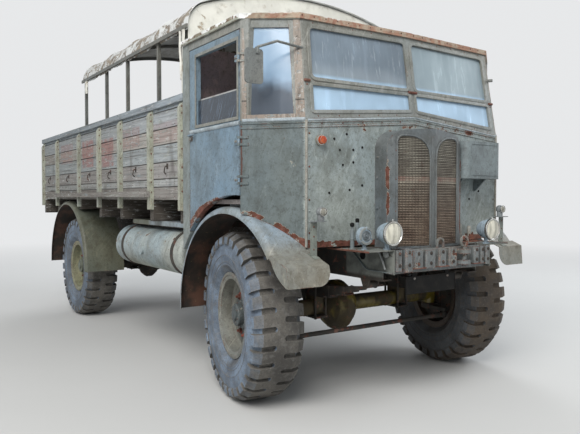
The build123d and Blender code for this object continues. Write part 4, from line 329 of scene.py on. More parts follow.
def iron(name, base, dirt, rust=0.5, oil=None, seed=0, pale=0.35, coats=()):
    """Rough rusty iron, with paint of another colour in the zones of coats and a film of oil where given."""
    f = Finish(name, rough=0.8, seed=seed)
    tone = f.mix(f.cloud(0.4, 0.65, 9, detail=5), base, dirt)
    scale = f.noise(16, detail=7, rough=0.7)
    left = f.cloud(0.62, 0.66, 7, detail=6, rough=0.65)
    for where, coat in coats:
        share = f.mul(f.zone(**where), f.flip(left))
        tone = f.mix(share, tone, f.mix(f.cloud(0.4, 0.66, 12, detail=5), coat, toned(coat, 0.55)))
        scale = f.sub(scale, f.mul(share, 0.10))
    tone = f.mix(f.step(f.add(scale, rust * 0.3), 0.60, 0.68), tone, rust_colour(f))
    tone = f.wash(tone, f.worn_edge(0.005), pale, RUST_PALE)
    dust = f.cloud(0.5, 0.75, 4, detail=4)
    tone = f.wash(tone, dust, pale, (0.20, 0.18, 0.15))
    f.colour(tone)
    f.rough(f.blend(f.noise(30), 0.7, 0.92))
    if oil:
        film = f.cloud(0.46, 0.62, 7, stretch=(1, 1, 0.6), detail=4)
        f.colour(f.mix(film, tone, oil))
        f.rough(f.blend(film, 0.8, 0.28))
    f.bump(f.add(f.mul(scale, 0.8), f.mul(f.noise(160, detail=2), 0.3)), 0.002, 0.9)
    return f.mat


def planks(name, tones, low, high, paint_left=0.4, along=(1.2, 60, 60), seed=0, by="z", near=None,
           tints=()):
    """Weathered planks: each board has its tone from a stepped ramp, with grain along it and flaking paint.

    The boards grow paler from the first x of near to the second and stay so beyond it; they are red in the
    zones of tints."""
    f = Finish(name, rough=0.85, seed=seed)

    def drawn(length, width):
        """Stretch of a noise that is drawn out along the boards."""
        return (length, width, width) if along[0] < along[1] else (width, length, width)

    level = f.math("DIVIDE", f.sub(f.z if by == "z" else f.y, low), high - low)
    tone = f.ramp(level, tones)
    grain = f.noise(1, stretch=along, detail=6, rough=0.65, warp=0.3)
    tone = f.mix(f.step(grain, 0.46, 0.72), tone, f.mix(0.62, tone, (0.045, 0.038, 0.032)))
    if near:
        tone = f.mix(f.step(f.x, *near), tone, (1.28, 1.30, 1.34), kind="MULTIPLY")
    for where, share in tints:
        faded = f.cloud(0.34, 0.50, 14, detail=6, rough=0.7)
        tone = f.wash(tone, f.mul(f.zone(**where), faded), share, (0.27, 0.125, 0.115))
    fine = f.noise(1, stretch=[a * 3.5 for a in along], detail=3)
    tone = f.wash(tone, f.step(fine, 0.55, 0.75), 0.5, (0.52, 0.50, 0.47))
    flake = f.noise(1, stretch=drawn(5, 34), detail=6, rough=0.7)
    flake_mask = f.step(f.add(flake, (paint_left - 0.5) * 0.3), 0.55, 0.60)
    coat = f.mix(f.cloud(0.4, 0.6, 2.2), (0.20, 0.23, 0.24), (0.26, 0.27, 0.24))
    tone = f.wash(tone, flake_mask, 0.8, coat)
    white = f.noise(1, stretch=drawn(9, 46), detail=7, rough=0.75, warp=0.3)
    tone = f.wash(tone, f.step(white, 0.585, 0.625), 0.75, (0.50, 0.51, 0.50))
    split = f.noise(1, stretch=drawn(2.2, 90), detail=5, rough=0.6, warp=0.2)
    tone = f.wash(tone, f.step(split, 0.62, 0.66), 0.75, (0.040, 0.036, 0.032))
    for place, _ in tones[1:]:
        joint = f.math("ABSOLUTE", f.sub(level, place))
        joint = f.flip(f.step(joint, 0.0030 / (high - low), 0.0065 / (high - low)))
        tone = f.wash(tone, joint, 0.8, (0.028, 0.025, 0.022))
    stain = f.cloud(0.55, 0.75, 1, stretch=(6, 6, 1.4), detail=5)
    tone = f.wash(tone, stain, 0.6, (0.075, 0.066, 0.058))
    f.colour(tone)
    height = f.sub(f.mul(flake_mask, 0.35), f.mul(f.step(grain, 0.45, 0.68), 0.7))
    f.bump(height, 0.003, 0.9)
    f.rough(f.blend(flake_mask, 0.9, 0.62))
    return f.mat


def cloth(name, light, brown, patches=0.5, seed=0):
    """Old proofed canvas: weave, creases, cracked pale coating with brown cloth under it."""
    f = Finish(name, rough=0.88, seed=seed)
    crack = f.noise(7, detail=8, rough=0.72, warp=0.6)
    coat = f.step(f.add(crack, (patches - 0.5) * 0.25), 0.47, 0.50)
    tone = f.mix(f.cloud(0.4, 0.65, 3), light, toned(light, 0.82))
    cloth_tone = f.mix(f.cloud(0.4, 0.6, 14, detail=4), brown, toned(brown, 0.6))
    rim = f.flip(f.mul(f.zone(ys=(-0.2, 0.97), soft=0.12), 0.72))
    tone = f.wash(tone, f.flip(coat), rim, cloth_tone)
    grime = f.cloud(0.5, 0.75, 1, stretch=(3, 9, 9), detail=5)
    tone = f.wash(tone, grime, 0.45, (0.24, 0.22, 0.18))
    f.colour(tone)
    weave_x = f.math("SINE", f.mul(f.x, 2600))
    weave_y = f.math("SINE", f.mul(f.add(f.y, f.z), 2600))
    weave = f.mul(f.mul(weave_x, weave_y), 0.06)
    height = f.add(weave, f.mul(coat, 0.5))
    f.bump(f.add(height, f.mul(f.noise(9, detail=4), 1.4)), 0.003, 0.8)
    return f.mat


def glass(name, dust, opacity=0.8, seed=0, low_dust_and_reflection=None, low_z=None):
    """Old glass under a film of dust, with painted reflections over parts of it; low_dust_and_reflection is
    the colour of the lower panes, up to low_z, and is mostly painted sky reflection.
    """
    f = Finish(name, rough=0.12, seed=seed)
    base = toned(dust, 0.84)
    bright = toned(dust, 1.16)
    if low_dust_and_reflection:
        # The lower panes take a bright blue-white: painted sky reflection over their dust
        here = f.step(f.z, *low_z)
        base = f.mix(here, toned(low_dust_and_reflection, 0.86), base)
        bright = f.mix(here, toned(low_dust_and_reflection, 1.12), bright)
    run = f.cloud(0.45, 0.72, 1, stretch=(16, 16, 1.2), detail=4, rough=0.55)
    cloud = f.cloud(0.35, 0.68, 1.8, detail=3)
    film = f.add(f.mul(run, 0.4), f.mul(cloud, 0.6), clamp=True)
    tone = f.mix(film, base, bright)
    if low_dust_and_reflection:
        streak = f.cloud(0.56, 0.72, 1, stretch=(55, 55, 0.8), detail=5, rough=0.65, warp=0.05)
        tone = f.wash(tone, f.mul(streak, here), 0.42, (0.46, 0.52, 0.56))
        foot = f.flip(f.step(f.add(f.z, f.mul(f.noise(6, detail=4), 0.10)), 2.22, 2.34))
        tone = f.wash(tone, f.mul(foot, here), 0.35, (0.40, 0.46, 0.50))
        # The quarter lights are dark below, as painted shade of the cab behind them, and blue above, as
        # painted sky reflection
        edge = f.add(f.z, f.mul(f.noise(3.5, detail=3), 0.30))
        pane = f.mix(f.step(edge, 2.22, 2.32), (0.085, 0.105, 0.135), (0.27, 0.39, 0.53))
        # The upper panes of the left half are paler blue-grey: painted sky reflection
        pale = f.mul(f.mul(f.step(f.y, 0.0, 0.02), here), 0.9)
        tone = f.mix(pale, tone, f.mix(film, (0.27, 0.345, 0.385), (0.36, 0.45, 0.49)))
        tone = f.mix(f.zone(ys=(0.900, 1.3), soft=0.006), tone, pane)
    else:
        cut = f.step(f.slanted(5.0, 70.0), 0.56, 0.66)
        smudge = f.mix(cut, toned(dust, 0.45), toned(dust, 1.25))
        # Bright and dark bands over the headlamp glass: its fluting, with a painted reflection of the
        # reflector behind it
        ribs = f.cloud(0.40, 0.60, 22, stretch=(0.2, 1, 0.25), detail=3)
        bowl = f.mix(ribs, toned(dust, 0.62), toned(dust, 1.45))
        tone = f.mix(f.step(f.z, 1.24, 1.26), f.mix(0.7, tone, bowl), smudge)
    f.colour(tone)
    f.rough(f.blend(film, 0.10, 0.34))
    f.put(f.bsdf.inputs["Transmission Weight"], f.blend(film, 1.075 - opacity, 0.925 - opacity))
    f.bsdf.inputs["IOR"].default_value = 1.46
    f.bump(f.mul(film, 0.2), 0.0006, 0.4)
    return f.mat


def rubber():
    """Dusty sidewalls with a painted blue sky sheen and a darker, earthier tread, told apart by the way
    each faces; the far-side tyres are darker still, as painted shade.
    """
    f = Finish("dusty rubber", rough=0.85, seed=193)
    facing = f.node("ShaderNodeSeparateXYZ")
    f.tree.links.new(f.node("ShaderNodeTexCoord").outputs["Normal"], facing.inputs[0])
    blur = f.mul(f.sub(f.noise(9, detail=5), 0.5), 0.7)
    wall = f.step(f.add(f.math("ABSOLUTE", facing.outputs[1]), blur), 0.42, 0.98)
    dust = f.cloud(0.36, 0.66, 6, detail=5, rough=0.65)
    tread = f.mix(dust, (0.050, 0.046, 0.041), (0.125, 0.116, 0.102))
    # The sidewalls' blue-grey is dust with a painted sky sheen
    side = f.mix(dust, (0.088, 0.116, 0.158), (0.192, 0.250, 0.330))
    tone = f.mix(wall, tread, side)
    tone = f.wash(tone, f.cloud(0.5, 0.7, 30, detail=4), 0.45, (0.17, 0.165, 0.155))
    scuff = f.cloud(0.58, 0.70, 1, stretch=(22, 22, 22), detail=6, rough=0.7, warp=0.5)
    tone = f.wash(tone, scuff, 0.5, (0.045, 0.043, 0.040))
    tone = f.wash(tone, f.worn_edge(0.012), 0.25, (0.235, 0.225, 0.205))
    low = f.flip(f.step(f.z, 0.0, 0.20))
    tone = f.wash(tone, low, 0.30, (0.13, 0.118, 0.10))
    near_hub = f.mul(wall, f.cloud(0.46, 0.62, 3.5, detail=4))
    tone = f.wash(tone, near_hub, 0.45, (0.055, 0.060, 0.064))
    # The tyres on the far side, under the truck, are darkened and browned: painted shade
    tone = f.mix(f.step(f.y, 0.3, 0.5), tone, (0.66, 0.54, 0.44), kind="MULTIPLY")
    fleck = f.cloud(0.50, 0.66, 85, detail=4, rough=0.7)
    tone = f.wash(tone, fleck, 0.45, (0.040, 0.042, 0.044))
    fleck = f.cloud(0.58, 0.70, 70, detail=4, rough=0.7)
    tone = f.wash(tone, fleck, 0.40, (0.240, 0.225, 0.195))
    f.colour(tone)
    f.bump(f.add(f.noise(45, detail=5, rough=0.7), f.mul(f.noise(240, detail=2), 0.3)), 0.0025, 0.75)
    f.rough(f.blend(dust, 0.62, 0.93))
    return f.mat


def hide():
    """Creased hide cloth with cracks over the crown."""
    f = Finish("seat hide", rough=0.55, seed=233)
    cell = f.voronoi(160, feature="DISTANCE_TO_EDGE")
    crease = f.noise(12, detail=6, rough=0.65, warp=0.8)
    tone = f.mix(f.step(crease, 0.45, 0.7), (0.045, 0.035, 0.028), (0.09, 0.065, 0.048))
    f.colour(f.mix(f.mul(f.cloud(0.5, 0.7, 5), 0.5), tone, (0.17, 0.15, 0.12)))
    f.rough(f.blend(f.noise(8), 0.42, 0.72))
    f.bump(f.add(f.mul(f.step(cell, 0.0, 0.12), 0.25), f.mul(crease, 0.9)), 0.002, 0.8)
    return f.mat


def grille_iron():
    """Grey-brown wires, rustier low down and in a few blotches."""
    f = Finish("rusty grille", rough=0.75, seed=179)
    tone = f.mix(f.cloud(0.38, 0.64, 9, detail=5), (0.300, 0.282, 0.232), (0.195, 0.176, 0.145))
    low = f.flip(f.step(f.z, 1.15, 1.72))
    brown = f.mix(f.cloud(0.4, 0.62, 12, detail=5), (0.260, 0.185, 0.130), (0.150, 0.090, 0.060))
    tone = f.wash(tone, low, 0.85, brown)
    blot = f.cloud(0.60, 0.70, 5, detail=6, rough=0.7)
    tone = f.wash(tone, blot, 0.7, rust_colour(f))
    wire = f.mul(f.math("SINE", f.mul(f.y, 1250)), 0.5)
    stay = f.zone(zs=(1.500, 1.530), soft=0.006)
    stay_tone = f.mix(f.cloud(0.4, 0.6, 16, detail=4), (0.15, 0.05, 0.038), (0.22, 0.17, 0.13))
    tone = f.wash(tone, stay, 0.6, stay_tone)
    # The gaps between the wires are darkened: painted shade in the openings
    row = f.math("SINE", f.mul(f.z, 370))
    column = f.math("SINE", f.mul(f.y, 250))
    gap = f.math("MAXIMUM", f.step(row, 0.15, 0.75), f.mul(f.step(column, 0.35, 0.85), 0.8))
    tone = f.wash(tone, gap, 0.62, (0.030, 0.022, 0.016))
    f.colour(tone)
    f.bump(f.add(wire, f.noise(120, detail=3)), 0.0012, 0.8)
    return f.mat


def plain(name, colour, rough=0.5, metal=0.0, spots=0.3, other=None, seed=0, shine=0.5):
    """One colour with cloudy spots of another, or of its own darker tone."""
    f = Finish(name, rough=rough, metal=metal, seed=seed)
    f.bsdf.inputs["Specular IOR Level"].default_value = shine
    tone = f.mix(f.mul(f.cloud(0.42, 0.7, 18, detail=5, rough=0.65), spots), colour,
                 other or toned(colour, 0.4))
    f.colour(tone)
    f.rough(f.blend(f.noise(24, detail=3), max(0.02, rough - 0.1), min(1.0, rough + 0.15)))
    f.bump(f.noise(60, detail=4), 0.0012, 0.5)
    return f.mat


def rim_disc(cx):
    """The dished part of the wheels on one axle."""
    return {"cx": cx, "cz": AXLE_Z, "r0": 0.215, "r1": 0.36, "soft": 0.025}


# Zones where a coat is rustier or of another tone, and one of painted shade on the angled cab panels
sill_zone = {"xs": (F + 0.55, F + 0.66), "ys": (0.0, 0.93), "zs": (1.815, 1.90), "soft": 0.02}
nose_rust = {"xs": (F + 0.56, F + 0.66), "ys": (0.0, 0.90), "zs": (1.86, 1.96), "soft": 0.012}
skirt_zone = {"xs": (F + 0.1, F + 0.65), "ys": (0.3, 1.25), "zs": (1.05, 1.15), "soft": 0.03}
door_foot = {"xs": (F - 0.5, F + 0.27), "ys": (1.15, 1.25), "zs": (1.10, 1.36), "soft": 0.04}
seam_zone = {"xs": (F + 0.235, F + 0.285), "ys": (1.15, 1.25), "zs": (1.3, 1.86), "soft": 0.01}
cowl_rust = {"xs": (F + 0.700, F + 0.726), "ys": (0.335, 0.365), "zs": (1.12, 1.66), "soft": 0.015}
nose_plates = {"xs": (F + 0.42, F + 0.95), "ys": (0.44, 0.70), "zs": (0.88, 1.10), "soft": 0.012}
corner_lip = {"cx": ARCH_X, "cz": ARCH_Z, "r0": 0.72, "r1": 0.778, "soft": 0.012}
door_lip = {"cx": ARCH_X, "cz": ARCH_Z, "r0": 0.75, "r1": 0.815, "soft": 0.012}
angled_panel_shade_zone = {"xs": (F - 0.8, F + 0.574), "ys": (0.905, 1.3), "soft": 0.008}
nose_zone = {"xs": (F + 0.52, F + 0.95), "zs": (0.80, 1.10), "soft": 0.05}
rear_guard_zone = {"xs": (-4.0, 0.6), "soft": 0.05}
guard_back_zone = {"xs": (-3.2, F - 3.95), "ys": (0.45, 1.3), "zs": (0.4, 1.20), "soft": 0.03}

GREY_GREEN = (0.185, 0.205, 0.195)
GREY_BLUE = (0.165, 0.20, 0.215)
OLIVE = (0.095, 0.102, 0.085)
M = {
    # On the angled corner panels the front paint is multiplied to under half: painted shade on faces turned
    # from the light
    "cab_front": paint("front paint", (0.255, 0.282, 0.265), (0.235, 0.278, 0.285), OLIVE, rust=-0.03,
            zones=[(sill_zone, 0.075), (nose_rust, 0.09), (skirt_zone, 0.08), (corner_lip, 0.24)], seed=3,
            shades=[(angled_panel_shade_zone, (0.41, 0.44, 0.455))]),
    "cab_door": paint("door paint", (0.150, 0.206, 0.250), (0.140, 0.215, 0.285), (0.070, 0.092, 0.102),
            rust=-0.02, zones=[(door_foot, 0.05), (door_lip, 0.24), (seam_zone, 0.10)], seed=19),
    "cab_frame": paint("frame paint", (0.205, 0.205, 0.185), (0.18, 0.195, 0.19), (0.10, 0.10, 0.08),
            rust=-0.01, seed=31, edge=0.004),
    # The mouldings' paint is paler and bluer than the panels': painted highlight over the paint
    "trim": paint("moulding paint and painted highlight", (0.33, 0.375, 0.40), (0.29, 0.34, 0.37), (0.13, 0.14, 0.14), rust=-0.04,
            seed=37, edge=0.003),
    "seam": paint("seam paint", (0.30, 0.285, 0.24), (0.25, 0.26, 0.24), (0.12, 0.10, 0.085), rust=0.05,
            seed=39, edge=0.004),
    "seam_rust": iron("red seam rust", (0.085, 0.034, 0.026), (0.060, 0.030, 0.024), rust=-0.2, seed=43,
            pale=0.2),
    # Where the rear wall's inner face shows through the door window its paint is brightened about threefold:
    # painted light in the shaded cab
    "cab_rear": paint("rear wall paint", GREY_GREEN, GREY_BLUE, OLIVE, rust=-0.02, seed=41,
            shades=[({"xs": (F - 0.588, F + 0.3), "ys": (-0.1, 1.12), "soft": 0.004}, (3.6, 2.5, 2.6))]),
    "guard": paint("mudguard paint", (0.222, 0.258, 0.275), (0.195, 0.250, 0.300), (0.100, 0.100, 0.082),
            rust=-0.01, seed=53, edge=0.008, axles=(ARCH_X, REAR, ARCH_Z),
            shades=[(nose_zone, (0.90, 0.74, 0.57)), (rear_guard_zone, (0.50, 0.435, 0.285)),
                    (guard_back_zone, (0.52, 0.27, 0.22))]),
    "nose": paint("cowl paint", (0.108, 0.118, 0.118), (0.098, 0.116, 0.127), (0.055, 0.056, 0.052),
            rust=-0.03, zones=[(cowl_rust, 0.30)], seed=67, edge=0.005),
    "lamp": paint("lamp paint", (0.275, 0.345, 0.400), (0.235, 0.300, 0.350), (0.090, 0.102, 0.110),
            rust=-0.05, seed=69, edge=0.004,
            shades=[({"zs": (1.24, 1.60), "soft": 0.01}, (0.86, 0.74, 0.66)),
                    ({"ys": (0.78, 1.2), "zs": (0.9, 1.24), "soft": 0.01}, (0.66, 0.58, 0.44))]),
    "box": paint("box paint", (0.140, 0.168, 0.172), (0.162, 0.194, 0.204), (0.065, 0.072, 0.072),
            rust=-0.05, seed=71),
    "tank": paint("tank paint", (0.310, 0.330, 0.305), (0.255, 0.320, 0.350), (0.120, 0.120, 0.100),
            rust=0.02, seed=83, dents=0.006, zones=[({"zs": (0.92, 1.2), "soft": 0.05}, 0.05)],
            shades=[({"xs": (0.0, F - 0.98), "zs": (0.0, 0.80), "soft": 0.12}, (0.80, 0.78, 0.62))]),
    "inner": paint("interior paint", (0.27, 0.235, 0.22), (0.24, 0.215, 0.205), (0.13, 0.11, 0.10),
            rust=-0.02, seed=97),
    "beam": paint("beam paint", (0.15, 0.155, 0.145), (0.13, 0.145, 0.15), (0.07, 0.065, 0.055), rust=0.07,
            seed=101, edge=0.009),
    "stake": paint("stake paint", (0.335, 0.345, 0.280), (0.285, 0.305, 0.265), (0.165, 0.160, 0.118),
            rust=0.0, seed=113),
    "hoop": paint("hoop paint", (0.13, 0.13, 0.115), (0.11, 0.12, 0.115), (0.06, 0.058, 0.05), rust=0.03,
            seed=127),
    "rim": paint("rim paint", (0.075, 0.085, 0.082), (0.065, 0.08, 0.085), (0.03, 0.032, 0.03), rust=0.03,
            seed=131, edge=0.005,
            shades=[({"xs": (-3.5, -0.5), "soft": 0.1}, (1.7, 1.6, 1.2)),
                    (rim_disc(F), (2.4, 2.1, 1.85)), (rim_disc(REAR), (1.8, 1.6, 1.35)),
                    ({"ys": (0.40, 0.93), "soft": 0.015}, (0.34, 0.24, 0.19))]),
    # Chassis and axle iron are darkened nearly to black over their grime: painted shade under the truck
    "chassis": iron("chassis iron", (0.026, 0.024, 0.021), (0.045, 0.038, 0.030), rust=0.18, seed=139,
            pale=0.15, coats=[(nose_plates, (0.165, 0.175, 0.158))]),
    "axle": iron("oily axle iron", (0.038, 0.030, 0.016), (0.060, 0.044, 0.018), rust=0.12,
            oil=(0.145, 0.112, 0.016), seed=149, pale=0.15),
    "rust": iron("bare rusty iron", (0.12, 0.06, 0.035), (0.16, 0.08, 0.045), rust=0.8, seed=157),
    "steel": plain("dull steel", (0.24, 0.235, 0.22), rough=0.45, metal=0.6, spots=0.7, other=RUST_DARK,
            seed=163),
    "bright": plain("bright trim", (0.55, 0.55, 0.53), rough=0.22, metal=1.0, spots=0.45,
            other=(0.25, 0.18, 0.12), seed=167),
    "nut": iron("red wheel nuts", (0.22, 0.05, 0.032), (0.15, 0.045, 0.03), rust=0.3, seed=173),
    "grille": grille_iron(),
    "rust_bright": iron("orange rusty iron", (0.21, 0.075, 0.038), (0.15, 0.060, 0.036), rust=0.45,
            seed=409),
    "steel_grey": plain("ribbed disc grey", (0.135, 0.158, 0.172), rough=0.42, spots=0.35,
            other=(0.09, 0.09, 0.085), seed=419),
    "mirror_shell": paint("mirror shell paint", (0.150, 0.155, 0.145), (0.135, 0.150, 0.150),
            (0.065, 0.066, 0.062), rust=0.0, seed=431),
    "black": plain("matt black", (0.008, 0.008, 0.008), rough=0.62, spots=0.25, other=(0.04, 0.035, 0.03),
            seed=181, shine=0.12),
    "horn": plain("horn grey", (0.235, 0.25, 0.245), rough=0.45, spots=0.45, other=(0.12, 0.12, 0.115),
            seed=191),
    "rubber": rubber(),
    "mirror": plain("mirror silver", (0.85, 0.86, 0.87), rough=0.04, metal=1.0, spots=0.05, seed=199),
    # The orange lens's brighter orange spots are painted highlights
    "amber": plain("orange lens", (0.30, 0.036, 0.010), rough=0.14, spots=0.75, other=(0.62, 0.17, 0.05),
            seed=211),
    # The lamp glass's pale tone is partly the reflector behind it, painted on as reflection
    "lens": glass("ribbed lamp glass", (0.62, 0.60, 0.51), opacity=0.76, seed=223),
    # The window's bluish tones are dust with painted sky reflection
    "glass": glass("dusty window with painted reflection", (0.185, 0.235, 0.285), opacity=0.88, seed=227,
            low_dust_and_reflection=(0.43, 0.60, 0.77), low_z=(2.155, 2.185)),
    "drop_glass": glass("dusty drop glass", (0.085, 0.115, 0.160), opacity=0.86, seed=229),
    "hide": hide(),
    "timber": planks("post timber", [(0.0, (0.27, 0.225, 0.19)), (0.5, (0.30, 0.26, 0.225))], 1.0, 3.0,
            paint_left=0.45, along=(40, 40, 1.4), seed=239),
    "canvas": cloth("tilt canvas", (0.60, 0.61, 0.60), (0.26, 0.22, 0.175), seed=241),
    "hood": cloth("front hood canvas", (0.68, 0.67, 0.61), (0.36, 0.29, 0.20), patches=0.80, seed=251),
}
FADED = ((4.25, 3.72, 1.80, 2.03, 0.38), (3.33, 2.92, 1.72, 2.01, 0.74), (2.64, 2.27, 1.70, 1.98, 0.74),
         (2.00, 1.56, 1.84, 2.02, 0.38), (1.25, 0.73, 1.84, 2.00, 0.30))
red_fades = [({"xs": (F - back, F - ahead), "ys": (1.165, 1.3), "zs": (low, high), "soft": 0.012}, share)
             for back, ahead, low, high, share in FADED]
board_tones = [
    (0.0, (0.19, 0.175, 0.158)),
    (0.129, (0.27, 0.275, 0.265)),
    (0.209, (0.235, 0.222, 0.210)),
    (0.376, (0.255, 0.275, 0.275)),
    (0.554, (0.285, 0.265, 0.238)),
    (0.711, (0.265, 0.280, 0.285)),
    (0.888, (0.225, 0.255, 0.275)),
]
M["boards"] = planks("body planks", board_tones, 1.372, 2.18, paint_left=0.46, seed=257, near=(-0.6, 1.2),
                     tints=red_fades)
M["tail"] = planks("tail planks", board_tones, 1.372, 2.18, paint_left=0.3, along=(60, 1.2, 60), seed=263)
deck_tones = []
for i in range(9):
    pale = i * 5 % 4
    deck_tones.append((i / 9, (0.17 + 0.03 * pale, 0.15 + 0.028 * pale, 0.128 + 0.025 * pale)))
M["deck"] = planks("deck planks", deck_tones, -1.146, 1.146, paint_left=0.0, seed=269, by="y")
M["bearers"] = planks("bearer timber", [(0.0, (0.050, 0.042, 0.034)), (0.5, (0.062, 0.052, 0.042))],
                      1.0, 1.4, paint_left=0.3, along=(60, 1.2, 60), seed=271)


def roof_paint():
    """White cracked coating over the crown, brown rust along the lip."""
    f = Finish("roof coating", rough=0.8, seed=277)
    crack = f.noise(6, detail=8, rough=0.72, warp=0.7)
    ragged = f.mul(f.sub(f.noise(9, detail=6, rough=0.65), 0.5), 0.16)
    behind = f.flip(f.step(f.x, F + 0.25, F + 0.42))
    fall = f.add(f.z, f.mul(behind, f.add(ragged, 0.022)))
    crown = f.step(f.add(fall, f.mul(ragged, 0.3)), 2.552, 2.562)
    white = f.mix(f.cloud(0.40, 0.75, 3), (0.78, 0.79, 0.78), (0.62, 0.62, 0.59))
    under = f.mix(f.cloud(0.4, 0.6, 12, detail=5), (0.31, 0.29, 0.24), (0.16, 0.10, 0.07))
    top = f.mix(f.step(crack, 0.40, 0.43), under, white)
    lip = f.mix(f.cloud(0.50, 0.60, 14, detail=6, rough=0.7), (0.235, 0.205, 0.150), (0.13, 0.085, 0.055))
    lip = f.mix(f.cloud(0.60, 0.68, 26, detail=5, rough=0.7), lip, RUST_PALE)
    peel = f.mix(f.cloud(0.42, 0.60, 18, detail=6, rough=0.7), (0.34, 0.165, 0.110), (0.42, 0.33, 0.25))
    lip = f.wash(lip, f.flip(behind), 0.75, peel)
    f.colour(f.mix(crown, lip, top))
    f.bump(f.add(f.mul(f.step(crack, 0.44, 0.48), 0.8), f.noise(70, detail=4)), 0.003, 0.9)
    return f.mat


M["roof"] = roof_paint()

# Which parts of the truck wear each finish
dress = {
    "chassis": "frame springs rear_axle propshafts track_rod knuckle_left knuckle_right",
    "axle": "front_axle engine",
    "guard": "mudguards lockers",
    "beam": "bumper",
    "black": "number_plate",
    "inner": "cab_floor seats controls",
    "cab_front": "cab_front",
    "cab_rear": "cab_rear",
    "cab_frame": "cab_frame",
    "glass": "cab_glass",
    "roof": "cab_roof",
    "nose": "cowl",
    "grille": "grille",
    "lamp": "lamp_bodies",
    "lens": "lamp_lenses",
    "box": "front_box",
    "mirror_shell": "mirror_arm",
    "mirror": "mirror_glass",
    "hide": "seat_cushions",
    "bearers": "body_bearers",
    "deck": "load_deck",
    "boards": "body_boards",
    "stake": "body_stakes",
    "hoop": "tilt_hoops",
    "canvas": "tilt_canvas",
    "hood": "tilt_front",
    "tank": "fuel_tank",
    "tail": "tailboard",
    "cab_door": "door_left door_right",
    "drop_glass": "door_glass_left door_glass_right",
    "rubber": "tyre_front_left tyre_front_right tyre_rear_left tyre_rear_right",
    "rim": "rim_front_left rim_front_right rim_rear_left rim_rear_right",
}
for finish, names in dress.items():
    for node_name in names.split():
        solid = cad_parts[node_name]
        solid = bpy.data.objects[solid] if isinstance(solid, str) else solid
        solid.data.materials.clear()
        solid.data.materials.append(M[finish])


# Each batch gathers small parts of one finish on one moving part into one piece
batches = {}


def batch(name, finish, slot, body=TRUCK, bevel=0.0):
    if name not in batches:
        batches[name] = {"bm": bmesh.new(), "finish": finish, "slot": slot, "body": body, "bevel": bevel}
    return batches[name]["bm"]


def across(direction):
    n = Vector(direction).normalized()
    ref = Vector((0, 0, 1)) if abs(n.z) < 0.9 else Vector((1, 0, 0))
    u = n.cross(ref).normalized()
    return u, n.cross(u).normalized(), n


def circle(u, v, r, sides, spin=0.0):
    """Steps from the centre to points round a circle in the plane of u and v."""
    angles = [spin + 2 * math.pi * i / sides for i in range(sides)]
    return [(u * math.cos(a) + v * math.sin(a)) * r for a in angles]


def skin(bm, rings, closed=False):
    """Faces between rings of points, with caps on the first and last unless the run is closed."""
    made = [[bm.verts.new(p) for p in ring] for ring in rings]
    pairs = list(zip(made, made[1:])) + ([(made[-1], made[0])] if closed else [])
    for a, b in pairs:
        n = len(a)
        for i in range(n):
            bm.faces.new((a[i], a[(i + 1) % n], b[(i + 1) % n], b[i]))
    if not closed:
        bm.faces.new(list(reversed(made[0])))
        bm.faces.new(made[-1])


def turned(bm, profile, at, direction, sides=16, spin=0.0):
    """Profile of (height, radius) turned about direction from the point at."""
    u, v, n = across(direction)
    at = Vector(at)
    skin(bm, [[at + n * h + step for step in circle(u, v, max(r, 0.0002), sides, spin)]
              for h, r in profile])


def hoop_ring(bm, section, at, direction, sides):
    """A closed (height, radius) section swept right round direction."""
    u, v, n = across(direction)
    at = Vector(at)
    skin(bm, [[at + n * h + d * r for h, r in section] for d in circle(u, v, 1.0, sides)], closed=True)


def neighbours(points, i, closed):
    """The points before and after one of a run; an open run's end stands in for what is missing."""
    before = points[i - 1] if i > 0 or closed else points[i]
    after = points[(i + 1) % len(points)] if i < len(points) - 1 or closed else points[i]
    return before, after


def sweep(bm, points, section, up, closed=False):
    """A section of (side, out) swept along points, with out kept near up."""
    points = [Vector(p) for p in points]
    rings = []
    for i, p in enumerate(points):
        before, after = neighbours(points, i, closed)
        run = (after - before).normalized()
        side = run.cross(Vector(up)).normalized()
        out = side.cross(run).normalized()
        stretch = 1.0
        if closed or 0 < i < len(points) - 1:
            turn = (p - before).normalized().angle((after - p).normalized(), 0)
            stretch = 1.0 / max(0.5, math.cos(turn / 2))
        rings.append([p + side * s * stretch + out * o for s, o in section])
    skin(bm, rings, closed=closed)


def tube(bm, points, r, sides=10, closed=False):
    points = [Vector(p) for p in points]
    u = across(points[1] - points[0])[0]
    rings = []
    for i, p in enumerate(points):
        before, after = neighbours(points, i, closed)
        run = (after - before).normalized()
        u = (u - run * u.dot(run)).normalized()
        rings.append([p + step for step in circle(u, run.cross(u), r, sides)])
    skin(bm, rings, closed=closed)


def rounded(points, radius, steps=5, closed=False):
    """The same run of points with its corners turned to arcs."""
    points = [Vector(p) for p in points]
    out = []
    for i, p in enumerate(points):
        if not closed and i in (0, len(points) - 1):
            out.append(p)
            continue
        before, after = neighbours(points, i, closed)
        a = before - p
        b = after - p
        reach = min(radius, a.length * 0.48, b.length * 0.48)
        start = p + a.normalized() * reach
        end = p + b.normalized() * reach
        for k in range(steps + 1):
            t = k / steps
            out.append(start * (1 - t) ** 2 + p * 2 * t * (1 - t) + end * t ** 2)
    return out


def slab(bm, outline, depth):
    """A flat plate: an outline drawn out by one step."""
    depth = Vector(depth)
    low = [Vector(p) for p in outline]
    skin(bm, [low, [p + depth for p in low]])


def brick(bm, lo, hi):
    x0, y0, z0 = lo
    x1, y1, z1 = hi
    slab(bm, [(x0, y0, z0), (x1, y0, z0), (x1, y1, z0), (x0, y1, z0)], (0, 0, z1 - z0))


def rivet(bm, at, direction, r=0.005):
    turned(bm, [(-0.001, r), (0.15 * r, r), (0.5 * r, 0.8 * r), (0.72 * r, 0.4 * r), (0.78 * r, 0)], at,
           direction, sides=10)


